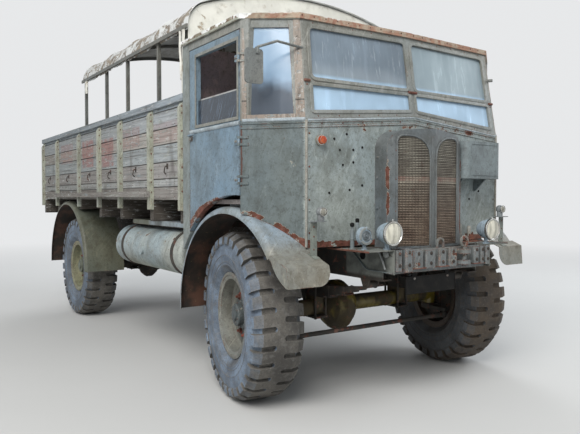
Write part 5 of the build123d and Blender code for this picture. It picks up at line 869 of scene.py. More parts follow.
def bolt(bm, at, direction, r, tail=0.0):
    """A washer, a hexagonal head and, with a tail, the end of the thread."""
    spin = rng.random() * 3
    turned(bm, [(-0.001, 1.55 * r), (0.18 * r, 1.55 * r), (0.2 * r, 1.45 * r)], at, direction, sides=14)
    turned(bm, [(0.15 * r, r), (0.85 * r, r), (r, 0.82 * r)], at, direction, sides=6, spin=spin)
    if tail:
        turned(bm, [(0.9 * r, 0.5 * r), (r + tail, 0.5 * r), (r + tail * 1.2, 0.4 * r)], at, direction,
               sides=8)


def lerp(a, b, t):
    return a + (b - a) * t


def clothed(name, mesh, finish):
    """A smooth object of the mesh in one finish."""
    piece = new_object(name, mesh)
    mesh.materials.append(M[finish])
    for poly in mesh.polygons:
        poly.use_smooth = True
    return piece


def soften(piece, width, segments, angle):
    """A bevel on the piece's sharp edges."""
    bevel = piece.modifiers.new("bevel", "BEVEL")
    bevel.width = width
    bevel.segments = segments
    bevel.limit_method = "ANGLE"
    bevel.angle_limit = math.radians(angle)


def mesh_of(name, bm):
    bmesh.ops.recalc_face_normals(bm, faces=bm.faces)
    mesh = bpy.data.meshes.new(name)
    bm.to_mesh(mesh)
    bm.free()
    return mesh


def finish_batch(name, spec):
    mesh = mesh_of(name, spec["bm"])
    piece = clothed(name, mesh, spec["finish"])
    if spec["bevel"]:
        soften(piece, spec["bevel"], 2, 35)
    mesh.set_sharp_from_angle(angle=math.radians(35))
    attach(piece, spec["body"])


# Cab panels: the front one runs from the nose to the corner, the angled one from the corner to the door post
NOSE_X = F + 0.608
CORNER = (F + 0.586, 0.915)
POST = (F + 0.266, 1.200)
SCREEN_TOP = (F + 0.488, 0.889)
DOOR_Y = 1.2
BELT = 1.880
SILL_MID = 1.955
ROOF_Z = 2.520
FRONT_FALL = 0.022 / 0.915
front_normal = Vector((0.915, 0.022, 0)).normalized()
angle_normal = Vector((POST[1] - CORNER[1], CORNER[0] - POST[0], 0)).normalized()


def front_at(y, z):
    """A point of the front panel."""
    return Vector((NOSE_X - abs(y) * FRONT_FALL, y, z))


def angled_at(side, s, z):
    """A point of an angled panel, s of the way from the corner to the post."""
    return Vector((lerp(CORNER[0], POST[0], s), side * lerp(CORNER[1], POST[1], s), z))


def sill_z(y):
    """Height of the windscreen's sill, which rises to the middle."""
    return BELT + (SILL_MID - BELT) * (1 - abs(y) / 0.915)


def mirrored(v, side):
    return Vector((v.x, v.y * side, v.z))


rivets = batch("panel_rivets", "cab_front", "cab_paint")
rusty_heads = batch("rusty_rivets", "rust", "chassis_iron")
for side in (1, -1):
    n = mirrored(front_normal, side)
    for k in range(12):
        rivet(rusty_heads if k % 3 == 1 else rivets, front_at(side * 0.893, 1.10 + k * 0.069), n, 0.0065)
    for k in range(7):
        rivet(rivets if k % 2 else rusty_heads, front_at(side * (0.42 + k * 0.073), 1.098), n, 0.0065)
    for k in range(11):
        y = side * (0.05 + k * 0.083)
        rivet(rusty_heads if k % 2 else rivets, front_at(y, sill_z(y) - 0.034), n)
    m = mirrored(angle_normal, side)
    for k in range(9):
        rivet(rivets, angled_at(side, 0.045, 1.14 + k * 0.086), m, 0.0055)
    for s in (0.25, 0.5, 0.75):
        rivet(rivets, angled_at(side, s, BELT - 0.036), m)

# Joint bead down the corner between front and angled panels
for side in (1, -1):
    bead = batch("corner_beads", "seam", "cab_paint")
    tube(bead, [(CORNER[0] + 0.002, side * (CORNER[1] + 0.002), z) for z in (1.078, 1.3, 1.6, BELT - 0.008)],
         0.0085, 10)
    belt = batch("belt_mouldings", "trim", "cab_paint")
    half_round = [(-0.012, -0.001), (-0.0105, 0.006), (-0.005, 0.0105), (0.005, 0.0105), (0.0105, 0.006),
            (0.012, -0.001)]
    m = mirrored(angle_normal, side)
    sweep(belt, [angled_at(side, s, BELT - 0.003) for s in (0.012, 0.975)], half_round, m)
    low_round = [(s * 0.6, o * 0.8) for s, o in half_round]
    sweep(belt, [front_at(side * y, sill_z(y) - 0.010) for y in (0.905, 0.010)], low_round,
          mirrored(front_normal, side))
    # Ragged red rust along the seam at the door post
    red = batch("door_seam_rust", "seam_rust", "cab_paint")
    edge = []
    for k in range(27):
        z = 1.46 + k * 0.0148
        broad = 0.012 * noise.noise(Vector((z * 9.0, side * 4.0, 2.0)))
        fine = 0.008 * noise.noise(Vector((z * 40.0, side, 5.0)))
        edge.append((z, 1 - (0.024 + broad + fine)))
    for (za, wa), (zb, wb) in zip(edge, edge[1:]):
        slab(red, [angled_at(side, s, z) for s, z in ((wa, za), (0.998, za), (0.998, zb), (wb, zb))],
             m * 0.0008)

# Small bolts and holes scattered over the front panel, as the photograph shows them
# The black heads stand for bolts and for holes; at the holes their black is painted shade
loose = batch("loose_bolts", "black", "chassis_iron")
for y, z in ((-0.70, 1.765), (-0.655, 1.695), (-0.60, 1.80), (-0.63, 1.60), (-0.545, 1.70), (-0.545, 1.62),
        (-0.575, 1.44), (-0.74, 1.42), (-0.47, 1.72), (-0.47, 1.47), (0.47, 1.50), (0.60, 1.38),
        (0.71, 1.44)):
    rivet(loose, front_at(y, z), mirrored(front_normal, 1 if y > 0 else -1), 0.0085)

# Waist moulding, rivets, window channels, handles, hinge-strap bolts and inner trim of the doors
for side, body in ((1, "door_left"), (-1, "door_right")):
    out = (0, side, 0)
    face = side * DOOR_Y
    waist = batch("waist_" + body, "trim", "cab_paint", body)
    section = [(-0.014, 0), (-0.012, 0.005), (-0.005, 0.009), (0.005, 0.009), (0.012, 0.005), (0.014, 0)]
    sweep(waist, [(F - 0.484, face, 1.868), (F + 0.254, face, 1.868)], section, out)
    lower = batch("door_rivets_" + body, "cab_door", "cab_paint", body)
    for k in range(9):
        rivet(lower, (F - 0.468, face, 1.24 + k * 0.072), out)
    for k in range(6):
        rivet(lower, (F + 0.236, face, 1.53 + k * 0.06), out)
    channel = batch("window_channel_" + body, "cab_frame", "cab_paint", body, bevel=0.0015)
    x0, x1, z0, z1 = F - 0.376, F + 0.226, 1.905, 2.400
    flat = [(-0.012, 0), (-0.012, 0.006), (0.008, 0.006), (0.008, 0)]
    pane = ((x0 - 0.008, z0 - 0.008), (x1 + 0.008, z0 - 0.008), (x1 + 0.008, z1 + 0.008),
            (x0 - 0.008, z1 + 0.008))
    sweep(channel, [(x, face, z) for x, z in pane], flat, out, closed=True)
    rail = batch("glass_rail_" + body, "bright", "steel", body, bevel=0.001)
    y0, y1 = sorted((side * 1.1795, side * 1.1835))
    brick(rail, (x0 + 0.001, y0, 2.082), (x1 - 0.001, y1, 2.094))
    plate = batch("handle_plate_" + body, "steel", "steel", body, bevel=0.0015)
    corners = [(F + x, face, z)
               for x, z in ((-0.478, 1.80), (-0.436, 1.80), (-0.436, 1.885), (-0.478, 1.885))]
    slab(plate, rounded(corners, 0.012, closed=True), (0, side * 0.003, 0))
    turned(plate, [(0, 0.013), (0.012, 0.013), (0.016, 0.010), (0.017, 0.004)],
           (F - 0.457, side * 1.203, 1.815), out)
    for x in (F - 0.445, F - 0.469):
        rivet(plate, (x, side * 1.203, 1.875), out, 0.004)
    for z in (1.502, 1.750, 2.280):
        strap = batch("hinge_bolts_" + body, "steel", "steel", body)
        for x in (F + 0.206, F + 0.228):
            bolt(strap, (x, side * 1.205, z), out, 0.006)
    trim = batch("door_inner_" + body, "inner", "interior", body, bevel=0.002)
    panel = ((-0.44, 1.30), (0.20, 1.46), (0.20, 1.84), (-0.44, 1.84))
    slab(trim, [(F + x, side * 1.164, z) for x, z in panel], (0, -side * 0.004, 0))
    turned(trim, [(0, 0.030), (0.010, 0.028), (0.014, 0.012), (0.040, 0.010), (0.046, 0.014),
            (0.058, 0.012)], (F - 0.05, side * 1.160, 1.70), (0, -side, 0), 18)

# Timber cladding of the quarter windows: slanted corner post, sill rail and door post
for side in (1, -1):
    clad = batch("quarter_timber", "timber", "wood", bevel=0.0015)
    n = mirrored(angle_normal, side)
    low_a = Vector((CORNER[0], side * CORNER[1], BELT + 0.004))
    top_a = Vector((SCREEN_TOP[0], side * SCREEN_TOP[1], ROOF_Z - 0.004))
    top_run = (Vector((POST[0], side * POST[1], ROOF_Z)) - top_a).normalized()
    low_run = (Vector((POST[0], side * POST[1], BELT)) - low_a).normalized()
    plane_n = low_run.cross(top_a - low_a).normalized()
    if plane_n.dot(n) < 0:
        plane_n = -plane_n
    out = plane_n * 0.0045
    slab(clad, [low_a + low_run * 0.006, low_a + low_run * 0.066, top_a + top_run * 0.050,
                top_a + top_run * 0.006], out)
    foot = Vector((POST[0], side * POST[1], BELT + 0.004))
    head = Vector((POST[0], side * POST[1], ROOF_Z - 0.06))
    slab(clad, [foot - low_run * 0.040, foot - low_run * 0.008, head - top_run * 0.008,
                head - top_run * 0.040], n * 0.0045)
    rise = Vector((0, 0, 0.028))
    slab(clad, [low_a + low_run * 0.068, foot - low_run * 0.042, foot - low_run * 0.042 + rise,
                low_a + low_run * 0.067 + rise], n * 0.006)

# Windscreen trims: raised frames round the panes, with a rounded upper inner corner
screen_low = Vector((CORNER[0], CORNER[1], BELT))
screen_top = Vector((SCREEN_TOP[0], SCREEN_TOP[1], ROOF_Z))
screen_mid_low = Vector((NOSE_X, 0, SILL_MID))
screen_mid_top = Vector((F + 0.522, 0, ROOF_Z))


def screen_at(side, s, t):
    """A point of a windscreen half: s runs from the corner to the middle, t up it."""
    low = screen_low.lerp(screen_mid_low, s)
    high = screen_top.lerp(screen_mid_top, s)
    return mirrored(low.lerp(high, t), side)


def rail_t(s):
    """How far up the screen the rail between the lower and the upper pane is."""
    return 0.38 - 0.083 * s


screen_n = ((screen_mid_top - screen_top).cross(screen_top - screen_low)).normalized()
if screen_n.x < 0:
    screen_n = -screen_n
for side in (1, -1):
    n = mirrored(screen_n, side)
    trim = batch("screen_trim", "cab_frame", "cab_paint", bevel=0.001)
    a, b = 0.065, 1 - 0.038
    section = [(-0.013, -0.001), (-0.013, 0.0045), (-0.009, 0.0065), (0.009, 0.0065), (0.012, 0.0035),
            (0.012, -0.001)]
    outer, inner = a - 0.012, b + 0.012
    upper = [screen_at(side, s, t) for s, t in ((outer, rail_t(a) + 0.022), (inner, rail_t(b) + 0.022),
                                                (inner, 0.938), (outer, 0.938))]
    lower = [screen_at(side, s, t) for s, t in ((outer, 0.062), (inner, 0.062),
                                                (inner, rail_t(b) - 0.022), (outer, rail_t(a) - 0.022))]
    sweep(trim, rounded(upper, 0.05, 6, closed=True), section, n, closed=True)
    sweep(trim, rounded(lower, 0.02, 4, closed=True), section, n, closed=True)
    # Hinge knuckles and catches of the opening upper light
    fittings = batch("screen_fittings", "rust", "chassis_iron")
    for s in (0.02, 0.98):
        p = screen_at(side, s, rail_t(s)) + n * 0.006
        turned(fittings, [(-0.022, 0.008), (-0.02, 0.0095), (0.02, 0.0095), (0.022, 0.008)], p, (0, 1, 0),
               12)
        bolt(fittings, p + Vector((0, 0, -0.025)) - n * 0.004, n, 0.006)
    for s in (0.10, 0.28, 0.46, 0.64, 0.82):
        for t in (0.975, 0.022):
            rivet(fittings, screen_at(side, s, t) + n * 0.0005, n, 0.0045)

# Drip gutters over the doors and lip screws round the roof edge
for side in (1, -1):
    gutter = batch("gutters", "stake", "cab_paint")
    line = [(F + x, side * y, 2.523) for x, y in ((-0.60, 1.2125), (0.262, 1.2125), (0.49, 0.897))]
    lip = [(-0.004, -0.008), (-0.004, 0.002), (0.0, 0.0075), (0.004, 0.002), (0.004, -0.008)]
    sweep(gutter, rounded(line, 0.02), lip, (0, 0, -1))
    lip = batch("lip_screws", "rust", "chassis_iron")
    for k in range(9):
        rivet(lip, (F - 0.57 + k * 0.1, side * 1.214, 2.54), (0, side, 0))
    for k in range(10):
        y = 0.06 + k * 0.092
        rivet(lip, (lerp(F + 0.536, F + 0.500, y / 0.903), side * y, 2.54), AHEAD)

# Cowl: beads round the arches, ridge down the nose, side bolts
COWL_NOSE = (F + 0.786, 0.020)
COWL_EDGE = (F + 0.735, 0.306)
COWL_OUT = (0.9844, 0.1756)


def cowl_at(side, y, z, out=0.0):
    """A point of the cowl's face, out by a distance."""
    t = (y - COWL_NOSE[1]) / (COWL_EDGE[1] - COWL_NOSE[1])
    x = lerp(COWL_NOSE[0], COWL_EDGE[0], t) + COWL_OUT[0] * out
    return Vector((x, side * (y + COWL_OUT[1] * out), z))


arch_line = [(0.024, 1.066), (0.024, 1.655), (0.034, 1.712), (0.060, 1.752), (0.100, 1.782), (0.150, 1.799),
        (0.200, 1.802), (0.240, 1.802), (0.262, 1.797), (0.279, 1.782), (0.287, 1.762), (0.288, 1.740),
        (0.288, 1.066)]
for side in (1, -1):
    beads = batch("cowl_beads", "nose", "nose_paint")
    tube(beads, [cowl_at(side, y + 0.003, z, 0.001) for y, z in arch_line], 0.0065, 10)
    n = Vector((COWL_OUT[0], side * COWL_OUT[1], 0))
    for z in (1.09, 1.30, 1.51, 1.70):
        rivet(batch("cowl_rivets", "rust", "chassis_iron"), cowl_at(side, 0.298, z), n)
    for z in (1.12, 1.32, 1.52, 1.66):
        bolt(batch("cowl_bolts", "nose", "nose_paint"), (F + 0.625, side * 0.3592, z), (0, side, 0), 0.007)
ridge = batch("cowl_ridge", "nose", "nose_paint", bevel=0.0015)
skin(ridge,
     [[(F + x, w * share, z) for x, share in ((0.784, -1), (0.7895, -0.6), (0.7895, 0.6), (0.784, 1))]
      for w, z in ((0.016, 1.055), (0.016, 1.50), (0.018, 1.66), (0.019, 1.80))])

# Headlamp rims and stalk bolts, side lamp rims, direction lamps, horn
LAMP_Y = 0.480
for side in (1, -1):
    rim = batch("lamp_rims", "bright", "steel")
    hoop_ring(rim, [(-0.014, 0.0735), (-0.012, 0.0775), (-0.002, 0.0785), (0.004, 0.076), (0.005, 0.071),
            (0.001, 0.067)], (F + 0.905, side * LAMP_Y, 1.166), AHEAD, 40)
    turned(rim, [(0, 0.004), (0.010, 0.004), (0.012, 0.003)], (F + 0.898, side * LAMP_Y, 1.243), UP, 8)
    bolt(batch("lamp_bolts", "rust", "chassis_iron"), (F + 0.845, side * LAMP_Y + 0.014, 1.100), (0, 1, 0),
         0.008)
    small = batch("side_lamp_rims", "bright", "steel")
    hoop_ring(small, [(-0.004, 0.0265), (0.0, 0.0288), (0.004, 0.0275), (0.004, 0.0245)],
            (F + 0.698, side * 0.866, 1.302), AHEAD, 28)
    for z in (1.07, 1.15, 1.21):
        rivet(batch("side_lamp_rivets", "rust", "chassis_iron"), (F + 0.6552, side * 0.908, z), AHEAD,
              0.0055)
HORN = (F + 0.780, -0.590, 1.148)


def horn_arc(bm, start, end):
    """A flat bar bent round the horn's centre between two angles."""
    section = ((-0.006, 0.0405), (0.005, 0.0415), (0.005, 0.0555), (-0.006, 0.0565))
    steps = 14
    rings = []
    for k in range(steps + 1):
        a = lerp(start, end, k / steps)
        c, s = math.cos(a), math.sin(a)
        rings.append([(HORN[0] + h, HORN[1] + r * c, HORN[2] + r * s) for h, r in section])
    skin(bm, rings)


for side in (1, -1):
    n = mirrored(front_normal, side)
    at = front_at(side * 0.813, 1.750)
    amber = batch("direction_lenses", "amber", "orange_glass")
    turned(amber, [(0.0145, 0.0262), (0.038, 0.0262), (0.044, 0.0225), (0.0475, 0.014), (0.0485, 0.004)],
           at, n, 28)
    hoop_ring(batch("direction_rims", "bright", "steel"), [(0.012, 0.0275), (0.012, 0.0310),
            (0.018, 0.0310), (0.0195, 0.0275)], at, n, 28)
horn = batch("horn_ring", "horn", "nose_paint", bevel=0.0008)
for k in range(3):
    start = math.radians(98 + 120 * k)
    horn_arc(horn, start, start + math.radians(108))
disc = batch("horn_disc", "steel_grey", "nose_paint")
turned(disc, [(-0.008, 0.033), (0.002, 0.033), (0.003, 0.030), (0.000, 0.027), (0.003, 0.024),
        (0.000, 0.021), (0.003, 0.018), (0.001, 0.015), (0.001, 0.009), (0.009, 0.008),
        (0.010, 0.003)], HORN, AHEAD, 36)
for k in range(3):
    a = math.radians(92 + 120 * k)
    bolt(disc, (HORN[0] - 0.004, HORN[1] + 0.048 * math.cos(a), HORN[2] + 0.048 * math.sin(a)), AHEAD,
         0.004)

# Reservoirs, valve stems and the bent bracket that stand on the front wing plates
PLATE_Z = 1.062
stand = batch("wing_bottles", "box", "nose_paint")
turned(stand, [(0, 0.020), (0.004, 0.021), (0.006, 0.0135), (0.060, 0.0135), (0.063, 0.016), (0.070, 0.016),
        (0.073, 0.0135), (0.118, 0.0135), (0.126, 0.009), (0.142, 0.008),
        (0.144, 0.003)], (F + 0.700, -0.640, PLATE_Z), UP, 20)
turned(stand, [(0, 0.014), (0.10, 0.013), (0.110, 0.008)], (F + 0.655, -0.560, PLATE_Z + 0.060), UP, 16)
dark = batch("wing_valves", "black", "chassis_iron")
turned(dark, [(0, 0.009), (0.003, 0.014), (0.018, 0.015), (0.024, 0.011), (0.027, 0.004)],
       (F + 0.700, -0.640, PLATE_Z + 0.143), UP, 14)
turned(dark, [(0, 0.012), (0.020, 0.013), (0.026, 0.008)], (F + 0.655, -0.560, PLATE_Z + 0.168), UP, 14)
turned(dark, [(0, 0.019), (0.004, 0.020), (0.008, 0.0145), (0.105, 0.0145), (0.112, 0.010)],
       (F + 0.640, 0.392, PLATE_Z + 0.022), UP, 18)
pale = batch("wing_stems", "seam", "nose_paint")
for y, h in ((0.445, 0.105), (0.545, 0.085)):
    turned(pale, [(0, 0.022), (0.005, 0.022), (0.009, 0.015), (h, 0.015), (h + 0.006, 0.011),
            (h + 0.010, 0.011), (h + 0.012, 0.004)], (F + 0.640, y, PLATE_Z + 0.022), UP, 18)
iron_bar = batch("wing_bracket", "rust_bright", "chassis_iron", bevel=0.0015)
brick(iron_bar, (F + 0.615, 0.372, PLATE_Z + 0.0005), (F + 0.690, 0.610, PLATE_Z + 0.008))
brick(iron_bar, (F + 0.6160, 0.372, PLATE_Z + 0.016), (F + 0.668, 0.575, PLATE_Z + 0.022))
slab(iron_bar, [(F + 0.660, 0.500, PLATE_Z + 0.022), (F + 0.660, 0.585, PLATE_Z + 0.008),
        (F + 0.660, 0.560, PLATE_Z + 0.075)], (0.005, 0, 0))
for y in (0.400, 0.470, 0.585):
    bolt(iron_bar, (F + 0.678, y, PLATE_Z + 0.008), UP, 0.008)

# Wing plates: lower lip, stay rod with its ball, capped stud, eye; rust along the flange
lip = batch("wing_lips", "box", "nose_paint", bevel=0.001)
knob = batch("wing_knobs", "horn", "nose_paint")
for side in (1, -1):
    y = side * 0.465
    out = (0, side, 0)
    sweep(lip, [(F + x, y + side * 0.004, z) for x, z in ((0.478, 1.0555), (0.638, 0.930), (0.665, 0.921),
            (0.890, 0.917))], [(-0.0005, -0.005), (-0.0005, 0.012), (0.004, 0.012), (0.004, -0.005)], out)
    tube(knob, [(F + 0.770, y + side * 0.016, 1.052), (F + 0.805, y + side * 0.014, 0.990),
                (F + 0.828, y + side * 0.012, 0.935)], 0.0065)
    turned(knob, [(-0.012, 0.006), (-0.010, 0.012), (0.0, 0.0145), (0.010, 0.012), (0.014, 0.006)],
           (F + 0.769, y + side * 0.016, 1.050), UP, 14)
    turned(knob, [(0, 0.013), (0.004, 0.013), (0.006, 0.021), (0.016, 0.022), (0.020, 0.017),
            (0.022, 0.006)], (F + 0.835, y, 1.032), out, 18)
    bolt(knob, (F + 0.560, y, 1.035), out, 0.008)
    turned(batch("wing_eyes", "black", "chassis_iron"), [(-0.004, 0.0275), (0.0015, 0.0275),
            (0.002, 0.0225), (-0.003, 0.0215)], (F + 0.600, y, 1.007), out, 24)
    edge = batch("wing_flange_rust", "rust", "chassis_iron", bevel=0.001)
    sweep(edge, [(F + 0.480, side * 0.6655, 1.0585), (F + 0.890, side * 0.6655, 1.0585)],
          [(-0.004, 0.0), (-0.004, 0.0035), (0.007, 0.0035), (0.007, 0.0)], out)
    for k in range(5):
        rivet(edge, (F + 0.52 + k * 0.075, side * 0.640, 1.0622), UP, 0.006)

# Cross-member: rib bolts, rust flanges, plate screws
jaw = batch("beam_bolts", "chassis", "chassis_iron")
RIBS = ((-0.448, -0.398, 0.905, 1.058), (-0.372, -0.308, 0.908, 1.064), (-0.290, -0.196, 0.893, 1.050),
        (-0.180, -0.088, 0.898, 1.050), (-0.052, 0.022, 0.893, 1.052),
        (0.040, 0.118, 0.900, 1.052), (0.300, 0.352, 0.893, 1.050),
        (0.366, 0.398, 0.900, 1.050), (0.412, 0.448, 0.905, 1.055))
for y0, y1, x, top in RIBS:
    for z in (top - 0.022, 0.962):
        bolt(jaw, (F + x, (y0 + y1) / 2, z), AHEAD, 0.008)
flange = batch("beam_flange", "rust", "chassis_iron", bevel=0.0012)
for y0, y1 in ((-0.446, -0.392), (-0.376, -0.300), (-0.294, -0.084), (-0.056, 0.120), (0.296, 0.448)):
    sweep(flange, [(F + 0.858, y0, 0.9335), (F + 0.858, y1, 0.9335)], [(-0.034, -0.003), (-0.034, 0.003),
            (0.036, 0.003), (0.040, -0.003)], UP)
PLATE_X = F + 0.862
for y in (-0.250, 0.060):
    bolt(batch("plate_screws", "steel", "steel"), (PLATE_X, y, 0.866), AHEAD, 0.006)
plate_rim = batch("plate_rim", "black", "plate_black", bevel=0.0008)
sweep(plate_rim, [(PLATE_X, y, z) for y, z in ((-0.326, 0.770), (0.134, 0.770), (0.134, 0.876),
        (-0.326, 0.876))], [(-0.003, 0), (-0.003, 0.002), (0.003, 0.002), (0.003, 0)], AHEAD, closed=True)

# Front box: beads round its lid and its foot
box_bm = batch("front_box_trim", "box", "nose_paint", bevel=0.001)
BOX_PATH = ((0.60, 0.366), (0.705, 0.366), (0.747, 0.384), (0.765, 0.426), (0.765, 0.700), (0.747, 0.742),
            (0.705, 0.760), (0.595, 0.760))
for z in (1.775, 1.553):
    sweep(box_bm, rounded([(F + x, y, z) for x, y in BOX_PATH], 0.02), [(-0.004, -0.002), (-0.004, 0.003),
            (0.004, 0.003), (0.004, -0.002)], UP)


# Wheels: nuts, hub bolts, lock ring, tyre ribs
def wheel_matrix(x, side):
    """The place of a wheel at rest; the front ones are turned a little to the right."""
    m = Matrix.Translation((x, side * 0.970, AXLE_Z))
    if side < 0:
        m = m @ Matrix.Rotation(math.pi, 4, "Z")
    if x == F:
        pin = Vector((F, side * 0.800, 0))
        turn = Matrix.Rotation(math.radians(-10), 4, "Z")
        m = Matrix.Translation(pin) @ turn @ Matrix.Translation(-pin) @ m
    return m, (m.to_3x3() @ Vector((0, 1, 0))).normalized()


def bolt_circle(bm, m, count, start, radius, depth, direction, r, tail=0.0):
    """Bolts at equal steps round a wheel, depth out from its middle."""
    for k in range(count):
        a = 2 * math.pi * k / count + start
        bolt(bm, m @ Vector((radius * math.cos(a), depth, radius * math.sin(a))), direction, r, tail)


for where, x, side in (("front_left", F, 1), ("front_right", F, -1), ("rear_left", REAR, 1),
        ("rear_right", REAR, -1)):
    body = "wheel_" + where
    m, outward = wheel_matrix(x, side)
    centre = m.translation
    nuts = batch("nuts_" + where, "nut", "rim_paint", body)
    bolt_circle(nuts, m, 10, 0.2, 0.148, 0.0315, outward, 0.0175, tail=0.012)
    caps = batch("hub_bolts_" + where, "rim", "rim_paint", body)
    bolt_circle(caps, m, 8, 0, 0.0865, 0.0600, outward, 0.0075)
    bolt_circle(caps, m, 6, 0.3, 0.056, 0.104, outward, 0.006)
    ring = batch("lock_ring_" + where, "rim", "rim_paint", body)
    hoop_ring(ring, [(0.127, 0.2885), (0.1345, 0.2895), (0.1355, 0.2795), (0.131, 0.2765)], centre, outward,
            64)
    ribs = batch("tyre_ribs_" + where, "rubber", "tyre", body)
    for face in (1, -1):
        for r, h in ((0.352, 0.1590), (0.372, 0.1623), (0.418, 0.1697)):
            low, high = face * (h - 0.003), face * (h + 0.0022)
            hoop_ring(ribs, [(low, r - 0.005), (high, r - 0.002), (high, r + 0.002), (low, r + 0.005)],
                    centre, outward, 96)

# Load body: stake bolts, plank nails, rope hooks and corner irons
BOARDS = ((1.374, 1.474), (1.478, 1.538), (1.542, 1.673), (1.677, 1.817), (1.821, 1.944), (1.948, 2.086),
        (2.090, 2.175))
STAKES = ((-5.135, 0.062), (-4.390, 0.084), (-3.426, 0.072), (-2.687, 0.084), (-2.042, 0.084),
        (-1.284, 0.084), (-0.660, 0.070))
BODY_Y = 1.180
for side in (1, -1):
    out = (0, side, 0)
    heads = batch("stake_bolts", "rust", "chassis_iron")
    for x, w in STAKES:
        for z0, z1 in BOARDS:
            z = min((z0 + z1) / 2, 2.070)
            for dx in (-1, 1):
                bolt(heads, (F + x + dx * (w / 2 - 0.007), side * 1.196, z + 0.012 * dx), out, 0.0055)
    nails = batch("plank_nails", "rust", "chassis_iron")
    for z0, z1 in BOARDS:
        for k in range(30):
            x = -3.01 + k * 0.155 + rng.uniform(-0.01, 0.01)
            rivet(nails, (x, side * BODY_Y, z0 + 0.022), out, 0.0035)
            rivet(nails, (x + 0.01, side * BODY_Y, z1 - 0.020), out, 0.0035)
    hooks = batch("rope_hooks", "chassis", "chassis_iron")
    for x in (-4.80, -3.90, -3.05, -2.36, -1.66, -0.95):
        base = Vector((F + x, side * BODY_Y, 1.612))
        bend = ((-0.002, 0.03), (0.020, 0.03), (0.030, -0.02), (0.012, -0.035))
        tube(hooks, rounded([base + Vector((0, side * y, z)) for y, z in bend], 0.012), 0.005, 8)
        slab(hooks, [base + Vector((dx, 0, dz)) for dx, dz in ((-0.016, 0.008), (0.016, 0.008),
                (0.016, 0.052), (-0.016, 0.052))], (0, side * 0.003, 0))
    irons = batch("corner_irons", "stake", "stake_paint", bevel=0.0015)
    for z in (1.60, 1.87, 2.12):
        slab(irons, [(x, side * 1.1801, z + dz) for x, dz in ((-3.028, -0.02), (-2.90, -0.02),
                (-2.90, 0.02), (-3.028, 0.02))], (0, side * 0.004, 0))

# Tilt: canvas sheets over the hoops
HOOPS = (-3.301, -2.585, -1.969, -1.218, -0.690)
TILT_HALF_W = 1.150
TILT_CROWN_Z = 3.070
TILT_CROWN_R = 2.900
TILT_SHOULDER_R = 0.210

# The crown's arc meets the shoulder's where both lean by the same angle
SHOULDER_Y = TILT_HALF_W - TILT_SHOULDER_R
SHOULDER_RISE = math.sqrt((TILT_CROWN_R - TILT_SHOULDER_R) ** 2 - SHOULDER_Y ** 2)
SHOULDER_LEAN = math.atan2(SHOULDER_Y, SHOULDER_RISE)
TOP_LEN = TILT_CROWN_R * SHOULDER_LEAN
ARC_LEN = TILT_SHOULDER_R * (math.pi / 2 - SHOULDER_LEAN)
HALF_ROOF = TOP_LEN + ARC_LEN
EAVE_Z = TILT_CROWN_Z - TILT_CROWN_R + SHOULDER_RISE


def tilt_point(u, off):
    """A point across the tilt: u is the distance from the crown along the surface, left positive."""
    d = abs(u)
    side = 1 if u > 0 else -1
    if d < TOP_LEN:
        a = d / TILT_CROWN_R
        ny, nz = math.sin(a), math.cos(a)
        y, z = TILT_CROWN_R * ny, TILT_CROWN_Z - TILT_CROWN_R + TILT_CROWN_R * nz
    elif d < HALF_ROOF:
        a = SHOULDER_LEAN + (d - TOP_LEN) / TILT_SHOULDER_R
        ny, nz = math.sin(a), math.cos(a)
        y, z = SHOULDER_Y + TILT_SHOULDER_R * ny, EAVE_Z + TILT_SHOULDER_R * nz
    else:
        ny, nz = 1.0, 0.0
        y, z = TILT_HALF_W, EAVE_Z - (d - HALF_ROOF)
    return Vector((0, side * (y + ny * off), z + nz * off))


def sheet_mesh(name, grid, finish, thick=0.003):
    """A cloth of one thickness over a grid of points; returns it and its area."""
    mesh = bpy.data.meshes.new(name)
    cols = len(grid[0])
    corners = [i * cols + j for i in range(len(grid) - 1) for j in range(cols - 1)]
    mesh.from_pydata([p for row in grid for p in row], [],
            [(k, k + 1, k + cols + 1, k + cols) for k in corners])
    mesh.update()
    piece = clothed(name, mesh, finish)
    solid = piece.modifiers.new("cloth thickness", "SOLIDIFY")
    solid.thickness = thick
    solid.offset = 0
    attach(piece, TRUCK)
    return piece, sum(p.area for p in mesh.polygons)


def hoop_sag(x):
    """0 on a hoop and up to 1 midway between two, less where they stand close."""
    spots = [F + h for h in HOOPS]
    for a, b in zip(spots, spots[1:]):
        if a <= x <= b:
            return math.sin(math.pi * (x - a) / (b - a)) ** 0.8 * min(1.0, (b - a) / 0.62)
    return 0.0


def wobble(a, b, c):
    return noise.noise(Vector((a, b, c)))


def ragged(x, side):
    """How far up the eave's torn edge goes, with a few deeper tears."""
    tear = max(0.0, wobble(x * 1.7, side * 5.0 + 4.0, 9) - 0.22) * 0.28
    wave = wobble(x * 3.1, side * 7.0 + 4.0, 0) * 0.035 + wobble(x * 13.0, side * 3.0 + 4.0, 2) * 0.018
    return wave + tear


